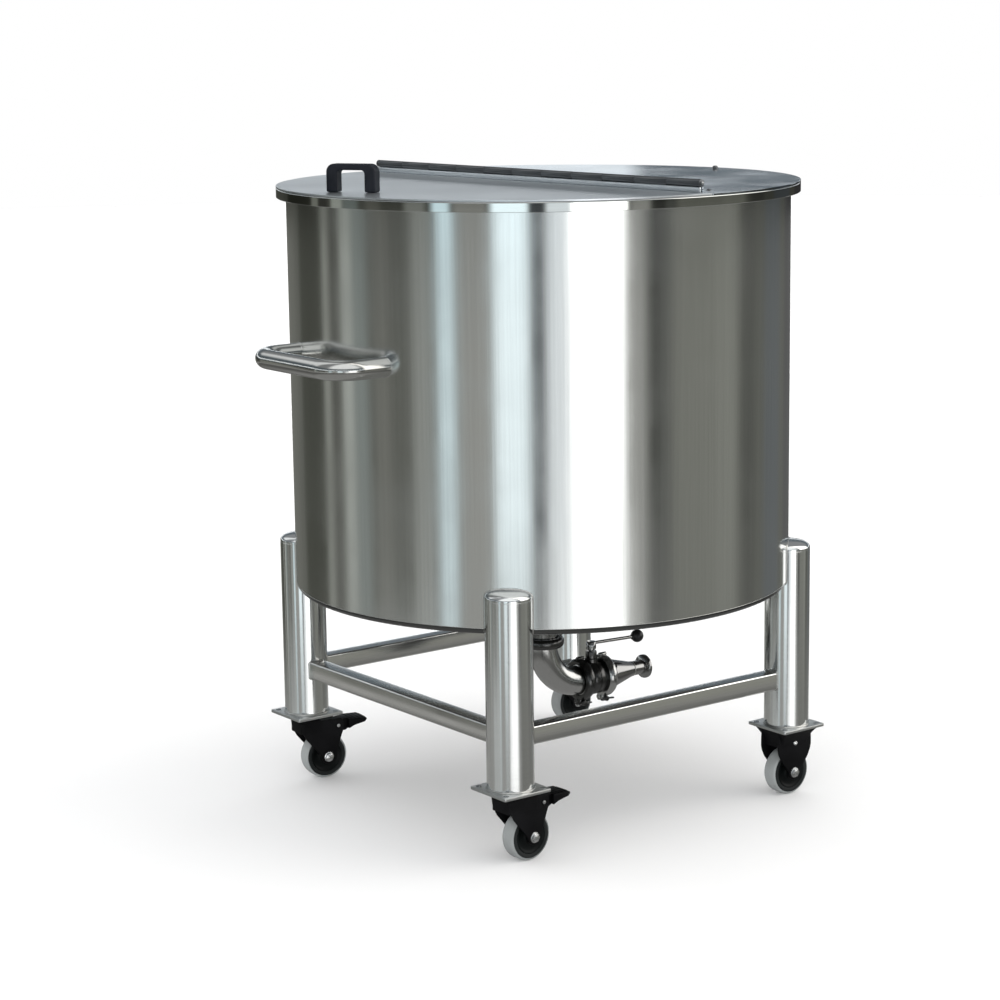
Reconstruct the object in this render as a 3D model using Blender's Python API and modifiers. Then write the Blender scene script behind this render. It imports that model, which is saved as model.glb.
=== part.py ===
"""Mobile stainless steel storage tank on a square castor frame.

A vertical shell with a pressed bottom, a flat lid in two halves with a long
hinge, a push handle, four legs joined by three rails, and a bottom outlet with a
lever valve. The floor is z = 0, the push handle is on the -Y side and the
outlet points to +Y.
"""
import math

import bmesh
import bpy
from mathutils import Matrix

# Clearance kept between pieces that touch, and general roundness
GAP = 0.0003
SHELL_SIDES = 64
TUBE_SIDES = 20
WHEEL_SIDES = 20
HINGE_SIDES = 12

# Shell, bottom and rim
SHELL_RADIUS = 0.420
SHELL_WALL = 0.003
BOTTOM_LINE = 0.370
KNUCKLE_RADIUS = 0.010
KNUCKLE_STEPS = 3
BOTTOM_CENTRE = 0.355
RIM_RADIUS = 0.436
RIM_BOTTOM = 1.029
RIM_SHEET = 0.003

# Lid in two halves, hinged on a line beside the middle
LID_TOP = 1.048
LID_SHEET = 0.003
RIM_TOP = LID_TOP - LID_SHEET - GAP
LID_LINE_OFFSET = 0.020
LID_LINE_TURN = math.radians(2.9)
LID_SEAM = 0.002
HINGE_BARREL = 0.0060
HINGE_PIN = 0.0025
HINGE_LENGTH = 0.822
HINGE_KNUCKLES = 11
HINGE_KNUCKLE_GAP = 0.0006
HINGE_LIP_INNER = 0.0012
HINGE_LIP_SHEET = 0.003
HINGE_RISE = 0.0145
HINGE_HEIGHT = LID_TOP + HINGE_RISE

# Bridge handle on the flap
LID_HANDLE_LENGTH = 0.086
LID_HANDLE_HEIGHT = 0.045
LID_HANDLE_WIDTH = 0.021
LID_HANDLE_POST = 0.019
LID_HANDLE_BAR = 0.010
LID_HANDLE_CORNER = 0.013
LID_HANDLE_PLACE = (0.0, -0.370)
LID_HANDLE_TURN = math.radians(30.0)

# Push handle, a bent tube welded to the shell
PUSH_TUBE = 0.016
PUSH_HEIGHT = 0.784
PUSH_HALF_WIDTH = 0.121
PUSH_REACH = 0.488
PUSH_BEND = 0.045

# Frame of four legs and three rails, open on the outlet side
LEG_OFFSET = 0.296
LEG_RADIUS = 0.038
LEG_WALL = 0.003
LEG_SEAM = 0.429
LEG_DOME = 0.015
RAIL_SIZE = 0.030
RAIL_WALL = 0.003
RAIL_BOTTOM = 0.190
FOOT_SIZE = 0.092
FOOT_SHEET = 0.005
FOOT_BOTTOM = 0.119

# Castors
WHEEL_RADIUS = 0.040
WHEEL_HALF_WIDTH = 0.014
TYRE_INNER = 0.0293
HUB_RADIUS = 0.0290
AXLE_RADIUS = 0.006
AXLE_HEAD_RADIUS = 0.009
CHEEK_INNER = 0.019
CHEEK_SHEET = 0.003
CHEEK_END_RADIUS = 0.013
RIGID_PLATE = 0.076
SWIVEL_PLATE = 0.066
CASTOR_PLATE_SHEET = 0.004
RIGID_TOP_REACH = 0.037
RIGID_SHOULDER = (0.038, 0.085)
RIGID_WAIST = (0.0305, 0.065)
SKIRT_BOTTOM = 0.087
SKIRT_REACH = 0.030
RIGID_FLARE = 0.015
SWIVEL_TRAIL = 0.030
SWIVEL_BACK = 0.022
SWIVEL_FRONT = 0.0605
SWIVEL_SHOULDER = 0.088
SWIVEL_TURN_RIGHT = math.radians(3.0)
SWIVEL_TURN_LEFT = math.radians(-7.0)
FORK_TOP = 0.1080
BRIDGE_SHEET = 0.005
BRIDGE_FRONT = 0.040
RACE_RADIUS = 0.026
PEDAL_PIVOT_Y = 0.050
PEDAL_PIVOT_Z = 0.094
PEDAL_REACH = 0.108
PEDAL_PIN_RADIUS = 0.003
PEDAL_ARM_WIDTH = 0.027
PEDAL_TREAD_WIDTH = 0.042

# Outlet pipework in 51 mm tube with clamped collars
PIPE_RADIUS = 0.0255
PIPE_BORE = 0.0235
PIPE_HEIGHT = 0.176
ELBOW_RADIUS = 0.076
COLLAR_RADIUS = 0.032
COLLAR_WIDTH = 0.0064
NECK_JOINT = 0.258
VALVE_INLET_JOINT = 0.082
VALVE_OUTLET_JOINT = 0.132
CLAMP_RADIUS = 0.037
CLAMP_HALF_WIDTH = 0.0085
REDUCER_END = 0.230
REDUCER_SMALL = 0.0127
REDUCER_BORE = 0.0107
REDUCER_COLLAR = 0.021
REDUCER_STRAIGHT = 0.018
FERRULE_LENGTH = 0.032
FERRULE_COLLAR = 0.006
FERRULE_SLOPE = 0.002
VALVE_NECK = 0.027
VALVE_BODY_RADIUS = 0.030
STEM_BOSS_RADIUS = 0.010
LEVER_HEIGHT = 0.234
LEVER_LENGTH = 0.105
LEVER_HUB_RADIUS = 0.009
LEVER_ROD_RADIUS = 0.003
KNOB_RADIUS = 0.0115

# The origin is under the middle of the whole outline, so the tank axis is off it
TANK_Y = (PUSH_REACH + PUSH_TUBE - RIM_RADIUS) / 2

CORNERS = {
    "handle_left": (-LEG_OFFSET, -LEG_OFFSET),
    "handle_right": (LEG_OFFSET, -LEG_OFFSET),
    "outlet_left": (-LEG_OFFSET, LEG_OFFSET),
    "outlet_right": (LEG_OFFSET, LEG_OFFSET),
}

# Stands a flat outline upright, its first direction along Y and its second along Z
ON_EDGE = Matrix(((0.0, 0.0, 1.0, 0.0), (1.0, 0.0, 0.0, 0.0), (0.0, 1.0, 0.0, 0.0), (0.0, 0.0, 0.0, 1.0)))


def clear_scene():
    for item in list(bpy.data.objects):
        bpy.data.objects.remove(item, do_unlink=True)


def new_collection(name):
    collection = bpy.data.collections.new(name)
    bpy.context.scene.collection.children.link(collection)
    return collection


def make_material(name, colour, roughness, metallic):
    material = bpy.data.materials.new(name)
    material.use_nodes = True
    shader = material.node_tree.nodes["Principled BSDF"]
    shader.inputs["Base Color"].default_value = (*colour, 1.0)
    shader.inputs["Roughness"].default_value = roughness
    shader.inputs["Metallic"].default_value = metallic
    material.diffuse_color = (*colour, 1.0)
    return material


clear_scene()
TANK = new_collection("mobile_storage_tank")
CUTTERS = new_collection("cutters")
STEEL = make_material("polished_steel", (0.62, 0.63, 0.62), 0.22, 1.0)
SATIN = make_material("satin_steel", (0.66, 0.69, 0.72), 0.35, 1.0)
BLACK_PAINT = make_material("black_castor_metal", (0.015, 0.015, 0.016), 0.45, 0.0)
BLACK_PLASTIC = make_material("black_plastic", (0.012, 0.014, 0.018), 0.40, 0.0)
TYRE_RUBBER = make_material("grey_tyre_rubber", (0.42, 0.43, 0.43), 0.60, 0.0)


# Making and joining shapes

def add_object(name, mesh, material, parent, cutter=False):
    item = bpy.data.objects.new(name, mesh)
    if cutter:
        CUTTERS.objects.link(item)
        item.hide_render = True
        item.display_type = "WIRE"
    else:
        TANK.objects.link(item)
        mesh.materials.append(material)
    item.parent = parent
    return item


def add_empty(name, location, parent=None, turn=0.0):
    empty = bpy.data.objects.new(name, None)
    TANK.objects.link(empty)
    empty.location = location
    empty.rotation_euler = (0.0, 0.0, turn)
    empty.parent = parent
    return empty


def mesh_from(bm, name):
    bmesh.ops.recalc_face_normals(bm, faces=bm.faces)
    mesh = bpy.data.meshes.new(name)
    bm.to_mesh(mesh)
    bm.free()
    return mesh


def box_mesh(name, low, high):
    size = [high[i] - low[i] for i in range(3)]
    centre = [(high[i] + low[i]) / 2 for i in range(3)]
    bm = bmesh.new()
    bmesh.ops.create_cube(bm, size=1.0)
    bmesh.ops.scale(bm, vec=size, verts=bm.verts)
    bmesh.ops.translate(bm, vec=centre, verts=bm.verts)
    return mesh_from(bm, name)


def rod_mesh(name, radius, length, centre, axis="Z", sides=TUBE_SIDES):
    bm = bmesh.new()
    bmesh.ops.create_cone(
        bm, cap_ends=True, segments=sides, radius1=radius, radius2=radius, depth=length)
    if axis == "X":
        bmesh.ops.rotate(bm, matrix=Matrix.Rotation(math.pi / 2, 3, "Y"), verts=bm.verts)
    if axis == "Y":
        bmesh.ops.rotate(bm, matrix=Matrix.Rotation(math.pi / 2, 3, "X"), verts=bm.verts)
    bmesh.ops.translate(bm, vec=centre, verts=bm.verts)
    return mesh_from(bm, name)


def turned(name, profile, sides, material, parent, closed=True, phase=0.0, cutter=False):
    """Turn a profile of (radius, height) about Z with a Screw modifier.

    The profile runs down the outer side and, when closed, back up the bore.
    """
    mesh = bpy.data.meshes.new(name)
    points = [(r * math.cos(phase), r * math.sin(phase), z) for r, z in profile]
    edges = [(i, i + 1) for i in range(len(points) - 1)]
    if closed:
        edges.append((len(points) - 1, 0))
    mesh.from_pydata(points, edges, [])
    item = add_object(name, mesh, material, parent, cutter)
    screw = item.modifiers.new("turn", "SCREW")
    screw.axis = "Z"
    screw.steps = sides
    screw.render_steps = sides
    screw.use_merge_vertices = True
    screw.merge_threshold = 0.00001
    screw.use_smooth_shade = True
    return item


def baked(item):
    """Turn a curve, or an object with modifiers, into a plain welded mesh object."""
    bpy.context.view_layer.update()
    graph = bpy.context.evaluated_depsgraph_get()
    mesh = bpy.data.meshes.new_from_object(item.evaluated_get(graph))
    bm = bmesh.new()
    bm.from_mesh(mesh)
    bmesh.ops.remove_doubles(bm, verts=bm.verts, dist=0.00001)
    bmesh.ops.recalc_face_normals(bm, faces=bm.faces)
    bm.to_mesh(mesh)
    bm.free()
    name = item.name
    collections = list(item.users_collection)
    result = bpy.data.objects.new(name + "_solid", mesh)
    for collection in collections:
        collection.objects.link(result)
    result.parent = item.parent
    result.matrix_parent_inverse = item.matrix_parent_inverse
    result.matrix_basis = item.matrix_basis
    result.hide_render = item.hide_render
    result.display_type = item.display_type
    bpy.data.objects.remove(item, do_unlink=True)
    result.name = name
    return result


def tube_along(name, points, radius, material, parent, resolution=6, cutter=False):
    """A round bar along a list of points."""
    curve = bpy.data.curves.new(name, "CURVE")
    curve.dimensions = "3D"
    spline = curve.splines.new("POLY")
    spline.points.add(len(points) - 1)
    for place, point in zip(spline.points, points):
        place.co = (*point, 1.0)
    curve.bevel_depth = radius
    curve.bevel_resolution = resolution
    curve.use_fill_caps = True
    return baked(add_object(name, curve, material, parent, cutter))


def plate(name, outline, thickness, material, parent, cutter=False):
    """A flat plate from an outline of (x, y) points, centred on its own plane."""
    curve = bpy.data.curves.new(name, "CURVE")
    curve.dimensions = "2D"
    curve.fill_mode = "BOTH"
    curve.extrude = thickness / 2
    spline = curve.splines.new("POLY")
    spline.points.add(len(outline) - 1)
    for place, point in zip(spline.points, outline):
        place.co = (point[0], point[1], 0.0, 1.0)
    spline.use_cyclic_u = True
    return baked(add_object(name, curve, material, parent, cutter))


def boolean(item, other, operation):
    modifier = item.modifiers.new(other.name, "BOOLEAN")
    modifier.operation = operation
    modifier.solver = "EXACT"
    modifier.object = other


def bevel(item, width, segments=1, angle=40.0):
    modifier = item.modifiers.new("edges", "BEVEL")
    modifier.width = width
    modifier.segments = segments
    modifier.limit_method = "ANGLE"
    modifier.angle_limit = math.radians(angle)


def tool(name, mesh, parent):
    return add_object(name, mesh, None, parent, cutter=True)


def smooth(item, angle=35.0):
    item.data.shade_smooth()
    item.data.set_sharp_from_angle(angle=math.radians(angle))


def arc(centre, radius, start, end, steps):
    """Points on an arc from start to end degrees."""
    points = []
    for i in range(steps + 1):
        angle = math.radians(start + (end - start) * i / steps)
        points.append((centre[0] + radius * math.cos(angle), centre[1] + radius * math.sin(angle)))
    return points


# Vessel

def knuckle_points(radius):
    """The turn between wall and bottom, from the wall down to the bottom line."""
    centre = (SHELL_RADIUS - KNUCKLE_RADIUS, BOTTOM_LINE + KNUCKLE_RADIUS)
    return arc(centre, radius, 0.0, -90.0, KNUCKLE_STEPS)


def vessel_cutter(name, parent):
    """The outside of the vessel, grown by the clearance, to notch what meets it."""
    profile = [(0.0, RIM_BOTTOM), (SHELL_RADIUS + GAP, RIM_BOTTOM)]
    profile += knuckle_points(KNUCKLE_RADIUS + GAP)
    profile.append((0.0, BOTTOM_CENTRE - GAP))
    return baked(turned(name, profile, SHELL_SIDES, None, parent, closed=False, cutter=True))


def make_vessel(axis):
    shell_bottom = BOTTOM_LINE + KNUCKLE_RADIUS + GAP
    inner = SHELL_RADIUS - SHELL_WALL
    turned(
        "tank_shell",
        [(SHELL_RADIUS, RIM_TOP), (SHELL_RADIUS, shell_bottom), (inner, shell_bottom), (inner, RIM_TOP)],
        SHELL_SIDES, STEEL, axis)

    hole = PIPE_RADIUS + GAP
    profile = knuckle_points(KNUCKLE_RADIUS)
    profile += [(hole, BOTTOM_CENTRE), (hole, BOTTOM_CENTRE + SHELL_WALL)]
    profile += list(reversed(knuckle_points(KNUCKLE_RADIUS - SHELL_WALL)))
    turned("tank_bottom", profile, SHELL_SIDES, STEEL, axis)

    flange_bottom = RIM_TOP - RIM_SHEET
    skirt = RIM_RADIUS - RIM_SHEET
    seat = SHELL_RADIUS + GAP
    turned(
        "rim_ring",
        [(RIM_RADIUS, RIM_TOP), (RIM_RADIUS, RIM_BOTTOM), (skirt, RIM_BOTTOM),
         (skirt, flange_bottom), (seat, flange_bottom), (seat, RIM_TOP)],
        SHELL_SIDES, STEEL, axis)


# Lid and its hinge

def lid_outline(side):
    """Half of the round lid on one side of the hinge line, in the line's own frame."""
    edge = side * LID_SEAM / 2
    start = math.degrees(math.asin((edge - LID_LINE_OFFSET) / RIM_RADIUS))
    if side > 0:
        return arc((0.0, LID_LINE_OFFSET), RIM_RADIUS, start, 180.0 - start, 40)
    return arc((0.0, LID_LINE_OFFSET), RIM_RADIUS, 180.0 - start, 360.0 + start, 36)


def hinge_leaf(name, side, parent):
    """One leaf of the long hinge: an upright lip under the barrel, with every other knuckle."""
    pitch = HINGE_LENGTH / HINGE_KNUCKLES
    inset = 0.0004
    lip_top = -HINGE_BARREL - 0.0006
    lip_outer = HINGE_LIP_INNER + HINGE_LIP_SHEET
    near, far = sorted((side * HINGE_LIP_INNER, side * lip_outer))
    lip = box_mesh(name, (-HINGE_LENGTH / 2, near, GAP - HINGE_RISE), (HINGE_LENGTH / 2, far, lip_top))
    leaf = add_object(name, lip, SATIN, parent)
    first = 0 if side > 0 else 1
    for i in range(first, HINGE_KNUCKLES, 2):
        middle = -HINGE_LENGTH / 2 + (i + 0.5) * pitch
        length = pitch - HINGE_KNUCKLE_GAP
        barrel = rod_mesh(f"{name}_barrel_{i}", HINGE_BARREL, length, (middle, 0.0, 0.0), "X", HINGE_SIDES)
        tab = box_mesh(
            f"{name}_tab_{i}",
            (middle - length / 2 + 0.001, near + inset, lip_top - 0.001),
            (middle + length / 2 - 0.001, far - inset, -HINGE_BARREL / 2))
        boolean(leaf, tool(f"{name}_tab_{i}", tab, parent), "UNION")
        boolean(leaf, tool(f"{name}_barrel_{i}", barrel, parent), "UNION")
    bore = rod_mesh(f"{name}_bore", HINGE_PIN + GAP, HINGE_LENGTH + 0.02, (0.0, 0.0, 0.0), "X", HINGE_SIDES)
    boolean(leaf, tool(f"{name}_bore", bore, parent), "DIFFERENCE")
    return leaf


def make_lid(axis):
    line = add_empty(
        "lid_hinge_line",
        (LID_LINE_OFFSET * math.sin(LID_LINE_TURN), -LID_LINE_OFFSET * math.cos(LID_LINE_TURN), HINGE_HEIGHT),
        axis, LID_LINE_TURN)
    middle = LID_TOP - LID_SHEET / 2 - HINGE_HEIGHT
    fixed = plate("lid_fixed_half", lid_outline(1), LID_SHEET, SATIN, line)
    fixed.location = (0.0, 0.0, middle)
    flap = plate("lid_flap", lid_outline(-1), LID_SHEET, SATIN, line)
    flap.data.transform(Matrix.Translation((0.0, 0.0, middle)))

    hinge_leaf("hinge_fixed_leaf", 1, line)
    hinge_leaf("hinge_flap_leaf", -1, line)
    pin = rod_mesh("hinge_pin", HINGE_PIN, HINGE_LENGTH + 0.006, (0.0, 0.0, 0.0), "X", HINGE_SIDES)
    add_object("hinge_pin", pin, STEEL, line)
    make_lid_handle(line)


def make_lid_handle(line):
    """A bridge with two posts, cut from an outline in the X-Z plane."""
    half = LID_HANDLE_LENGTH / 2
    inner = half - LID_HANDLE_POST
    top = LID_HANDLE_HEIGHT
    under = top - LID_HANDLE_BAR
    radius = LID_HANDLE_CORNER
    outline = [(half, 0.0)]
    outline += arc((half - radius, top - radius), radius, 0.0, 90.0, 4)
    outline += arc((radius - half, top - radius), radius, 90.0, 180.0, 4)
    outline += [(-half, 0.0), (-inner, 0.0), (-inner, under), (inner, under), (inner, 0.0)]
    handle = plate("lid_handle", outline, LID_HANDLE_WIDTH, BLACK_PLASTIC, line)
    stand = Matrix.Rotation(math.pi / 2, 4, "X")
    turn = Matrix.Rotation(LID_HANDLE_TURN, 4, "Z")
    place = Matrix.Translation((*LID_HANDLE_PLACE, LID_TOP + GAP))
    from_axis = Matrix.Translation(line.location) @ Matrix.Rotation(LID_LINE_TURN, 4, "Z")
    handle.data.transform(from_axis.inverted() @ place @ turn @ stand)
    bevel(handle, 0.003, 1, 50.0)


# Push handle

def make_push_handle(axis):
    """A tube that leaves the shell, bends across and comes back."""
    bend = PUSH_BEND
    side = PUSH_HALF_WIDTH
    inside = SHELL_RADIUS - 0.06
    points = [(side, -inside)]
    points += arc((side - bend, bend - PUSH_REACH), bend, 0.0, -90.0, 6)
    points += arc((bend - side, bend - PUSH_REACH), bend, -90.0, -180.0, 6)
    points.append((-side, -inside))
    handle = tube_along(
        "push_handle", [(x, y, PUSH_HEIGHT) for x, y in points], PUSH_TUBE, STEEL, axis)
    boolean(handle, vessel_cutter("push_handle_notch", axis), "DIFFERENCE")
    smooth(handle)


# Frame

def leg_profile():
    """Tube with a low domed end, open at the foot."""
    bottom = FOOT_BOTTOM + FOOT_SHEET + GAP
    outer = []
    inner = []
    for angle in (90.0, 60.0, 30.0, 0.0):
        turn = math.radians(angle)
        outer.append((LEG_RADIUS * math.cos(turn), LEG_SEAM + LEG_DOME * math.sin(turn)))
        radius = LEG_RADIUS - LEG_WALL
        inner.append((radius * math.cos(turn), LEG_SEAM + (LEG_DOME - LEG_WALL) * math.sin(turn)))
    outer[0] = (0.0, LEG_SEAM + LEG_DOME)
    inner[0] = (0.0, LEG_SEAM + LEG_DOME - LEG_WALL)
    foot = [(LEG_RADIUS, bottom), (LEG_RADIUS - LEG_WALL, bottom)]
    return outer + foot + list(reversed(inner))


def make_leg(name, place, axis):
    leg = turned("leg_" + name, leg_profile(), TUBE_SIDES, STEEL, axis, closed=False)
    leg.location = (*place, 0.0)
    leg = baked(leg)
    boolean(leg, vessel_cutter("leg_notch_" + name, axis), "DIFFERENCE")
    smooth(leg)
    half = FOOT_SIZE / 2
    foot = box_mesh("foot", (-half, -half, FOOT_BOTTOM), (half, half, FOOT_BOTTOM + FOOT_SHEET))
    add_object("foot_plate_" + name, foot, STEEL, axis).location = (*place, 0.0)


def make_rail(name, first, second, axis):
    """A square tube between two legs, its ends cut round to meet them."""
    along_x = abs(first[0] - second[0]) > abs(first[1] - second[1])
    centre = ((first[0] + second[0]) / 2, (first[1] + second[1]) / 2, RAIL_BOTTOM + RAIL_SIZE / 2)
    half = RAIL_SIZE / 2
    hollow = half - RAIL_WALL
    length = LEG_OFFSET
    bar = box_mesh(name, (-length, -half, -half), (length, half, half))
    core = box_mesh(name + "_core", (-length - 0.02, -hollow, -hollow), (length + 0.02, hollow, hollow))
    turn = 0.0 if along_x else math.pi / 2
    rail = add_object(name, bar, STEEL, axis)
    cutter = tool(name + "_core", core, axis)
    for item in (rail, cutter):
        item.location = centre
        item.rotation_euler = (0.0, 0.0, turn)
    boolean(rail, cutter, "DIFFERENCE")
    for number, place in enumerate((first, second)):
        post = rod_mesh("post", LEG_RADIUS + GAP, 0.2, (*place, centre[2]), "Z", TUBE_SIDES)
        boolean(rail, tool(f"{name}_end_{number}", post, axis), "DIFFERENCE")


def make_frame(axis):
    for name, place in CORNERS.items():
        make_leg(name, place, axis)
    sides = {
        "handle": ("handle_left", "handle_right"),
        "left": ("handle_left", "outlet_left"),
        "right": ("handle_right", "outlet_right"),
    }
    for name, (first, second) in sides.items():
        make_rail("rail_" + name, CORNERS[first], CORNERS[second], axis)


# Castors

def make_wheel(name, place, parent):
    """A hub with short spacer bosses and a tyre, both turned about the axle."""
    phase = math.pi / WHEEL_SIDES
    grow = 1.0 / math.cos(phase)
    width = WHEEL_HALF_WIDTH
    rim = HUB_RADIUS * grow
    boss = 0.011
    cheek_gap = 0.0008
    reach = CHEEK_INNER - cheek_gap
    bore = AXLE_RADIUS + 0.0005
    hub = [(boss, reach), (boss, width - 0.001), (rim, width - 0.002),
           (rim, 0.002 - width), (boss, 0.001 - width), (boss, -reach), (bore, -reach), (bore, reach)]
    tread = WHEEL_RADIUS * grow
    shoulder = tread - 0.003
    seat = TYRE_INNER * grow
    tyre = [(seat, width - 0.0016), (shoulder, width), (tread, width - 0.0035),
            (tread, 0.0035 - width), (shoulder, -width), (seat, 0.0016 - width)]
    for label, profile, material in (("wheel_hub_", hub, BLACK_PLASTIC), ("wheel_tyre_", tyre, TYRE_RUBBER)):
        item = turned(label + name, profile, WHEEL_SIDES, material, parent, phase=phase)
        item.location = place
        item.rotation_euler = (0.0, math.pi / 2, 0.0)


def cheek(name, outline, side, parent):
    """One side of a fork, drawn in the travel direction and height."""
    item = plate(name, outline, CHEEK_SHEET, None, parent, cutter=True)
    shift = Matrix.Translation((side * (CHEEK_INNER + CHEEK_SHEET / 2), 0.0, 0.0))
    item.data.transform(shift @ ON_EDGE)
    return item


def add_skirt(fork, name, top, flare, back, parent):
    """The shoulder of a fork, flared under its plate and narrow above the wheel."""
    bm = bmesh.new()
    bmesh.ops.create_cube(bm, size=2.0)
    for vert in bm.verts:
        upper = vert.co.z > 0.0
        grow = flare if upper else 0.0
        half = CHEEK_INNER + CHEEK_SHEET + grow
        reach = (SKIRT_REACH if vert.co.y > 0.0 else back) + grow / 2
        height = top if upper else SKIRT_BOTTOM
        vert.co = (math.copysign(half, vert.co.x), math.copysign(reach, vert.co.y), height)
    boolean(fork, tool("skirt_" + name, mesh_from(bm, "skirt"), parent), "UNION")


def add_axle(fork, name, trail, parent):
    proud = 0.003
    length = 2 * (CHEEK_INNER + CHEEK_SHEET + proud)
    axle = rod_mesh("axle", AXLE_RADIUS, length, (0.0, trail, WHEEL_RADIUS), "X", 12)
    boolean(fork, tool("axle_" + name, axle, parent), "UNION")
    for side in (-1, 1):
        place = (side * (CHEEK_INNER + CHEEK_SHEET + proud / 2), trail, WHEEL_RADIUS)
        head = rod_mesh("head", AXLE_HEAD_RADIUS, proud + 0.001, place, "X", 6)
        boolean(fork, tool(f"axle_head_{name}_{side}", head, parent), "UNION")


def make_rigid_castor(name, place, axis):
    base = add_empty("castor_" + name, (*place, 0.0), axis)
    top = FOOT_BOTTOM - GAP
    half = RIGID_PLATE / 2
    head = box_mesh("head", (-half, -half, top - CASTOR_PLATE_SHEET), (half, half, top))
    fork = add_object("rigid_fork_" + name, head, BLACK_PAINT, base)
    under_plate = top - CASTOR_PLATE_SHEET / 2
    front = [RIGID_WAIST, RIGID_SHOULDER, (RIGID_TOP_REACH, under_plate)]
    outline = arc((0.0, WHEEL_RADIUS), CHEEK_END_RADIUS, 195.0, 345.0, 6) + front
    outline += [(-y, z) for y, z in reversed(front)]
    for side in (-1, 1):
        boolean(fork, cheek(f"rigid_cheek_{name}_{side}", outline, side, base), "UNION")
    add_skirt(fork, name, under_plate, RIGID_FLARE, SKIRT_REACH, base)
    add_axle(fork, name, 0.0, base)
    make_wheel(name, (0.0, 0.0, WHEEL_RADIUS), base)


def make_swivel_castor(name, place, turn, axis):
    corner = add_empty("castor_" + name, (*place, 0.0), axis)
    swivel = add_empty("swivel_axis_" + name, (0.0, 0.0, 0.0), corner, turn)
    top = FOOT_BOTTOM - GAP
    half = SWIVEL_PLATE / 2
    head = box_mesh("head", (-half, -half, top - CASTOR_PLATE_SHEET), (half, half, top))
    base = add_object("castor_plate_" + name, head, BLACK_PAINT, corner)
    race_top = top - CASTOR_PLATE_SHEET / 2
    race_bottom = FORK_TOP + 0.003
    race = rod_mesh("race", RACE_RADIUS, race_top - race_bottom, (0.0, 0.0, (race_top + race_bottom) / 2))
    boolean(base, tool("race_" + name, race, corner), "UNION")

    bridge_half = CHEEK_INNER + CHEEK_SHEET + 0.0005
    bridge = box_mesh(
        "bridge", (-bridge_half, -SWIVEL_BACK - 0.0005, FORK_TOP - BRIDGE_SHEET),
        (bridge_half, BRIDGE_FRONT, FORK_TOP))
    fork = add_object("swivel_fork_" + name, bridge, BLACK_PAINT, swivel)
    disc_bottom = FORK_TOP - BRIDGE_SHEET / 2
    disc_top = race_bottom - 0.0005
    disc_middle = (0.0, 0.0, (disc_top + disc_bottom) / 2)
    disc = rod_mesh("disc", RACE_RADIUS - 0.003, disc_top - disc_bottom, disc_middle)
    boolean(fork, tool("disc_" + name, disc, swivel), "UNION")
    ear = FORK_TOP - 0.001
    outline = [(SWIVEL_FRONT - 0.004, ear), (-SWIVEL_BACK, ear), (0.004 - SWIVEL_BACK, SWIVEL_SHOULDER)]
    outline += arc((SWIVEL_TRAIL, WHEEL_RADIUS), CHEEK_END_RADIUS, 215.0, 350.0, 6)
    outline += [(SWIVEL_FRONT - 0.005, PEDAL_PIVOT_Z - 0.020), (SWIVEL_FRONT, PEDAL_PIVOT_Z - 0.006)]
    for side in (-1, 1):
        boolean(fork, cheek(f"swivel_cheek_{name}_{side}", outline, side, swivel), "UNION")
    add_skirt(fork, name, FORK_TOP, 0.0, SWIVEL_BACK, swivel)
    add_axle(fork, name, SWIVEL_TRAIL, swivel)
    pin_length = 2 * CHEEK_INNER + CHEEK_SHEET
    pin = rod_mesh("pin", PEDAL_PIN_RADIUS, pin_length, (0.0, PEDAL_PIVOT_Y, PEDAL_PIVOT_Z), "X", 10)
    boolean(fork, tool("pedal_pin_" + name, pin, swivel), "UNION")
    make_wheel(name, (0.0, SWIVEL_TRAIL, WHEEL_RADIUS), swivel)
    make_pedal(name, swivel)


def make_pedal(name, swivel):
    """A foot pedal on a pin between the fork's cheeks, with a wide tread at its end."""
    start = 0.016
    end = PEDAL_REACH - PEDAL_PIVOT_Y
    outline = arc((0.0, 0.0), 0.0065, 90.0, 290.0, 6)
    underside = [(start, -0.0135), (start + 0.016, -0.0055), (end - 0.004, -0.0015)]
    outline += underside + [(end, 0.003), (end - 0.001, 0.0065), (start, 0.0085)]
    arm = plate("brake_pedal_" + name, outline, PEDAL_ARM_WIDTH, BLACK_PAINT, swivel)
    arm.data.transform(ON_EDGE)
    arm.location = (0.0, PEDAL_PIVOT_Y, PEDAL_PIVOT_Z)
    tread_start = start + 0.006
    tread = [(tread_start, -0.0095), (start + 0.016, -0.0050), (end - 0.0045, -0.0010), (end - 0.0005, 0.0032),
             (end - 0.0015, 0.0062), (tread_start, 0.0082)]
    wide = plate("pedal_tread_" + name, tread, PEDAL_TREAD_WIDTH, None, swivel, cutter=True)
    wide.data.transform(ON_EDGE)
    wide.location = arm.location
    boolean(arm, wide, "UNION")
    bore = rod_mesh(
        "bore", PEDAL_PIN_RADIUS + 0.0005, 2 * PEDAL_ARM_WIDTH, (0.0, PEDAL_PIVOT_Y, PEDAL_PIVOT_Z), "X", 10)
    boolean(arm, tool("pedal_bore_" + name, bore, swivel), "DIFFERENCE")


def make_castors(axis):
    for name in ("outlet_left", "outlet_right"):
        make_rigid_castor(name, CORNERS[name], axis)
    make_swivel_castor("handle_left", CORNERS["handle_left"], SWIVEL_TURN_LEFT, axis)
    make_swivel_castor("handle_right", CORNERS["handle_right"], SWIVEL_TURN_RIGHT, axis)


# Outlet

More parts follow.
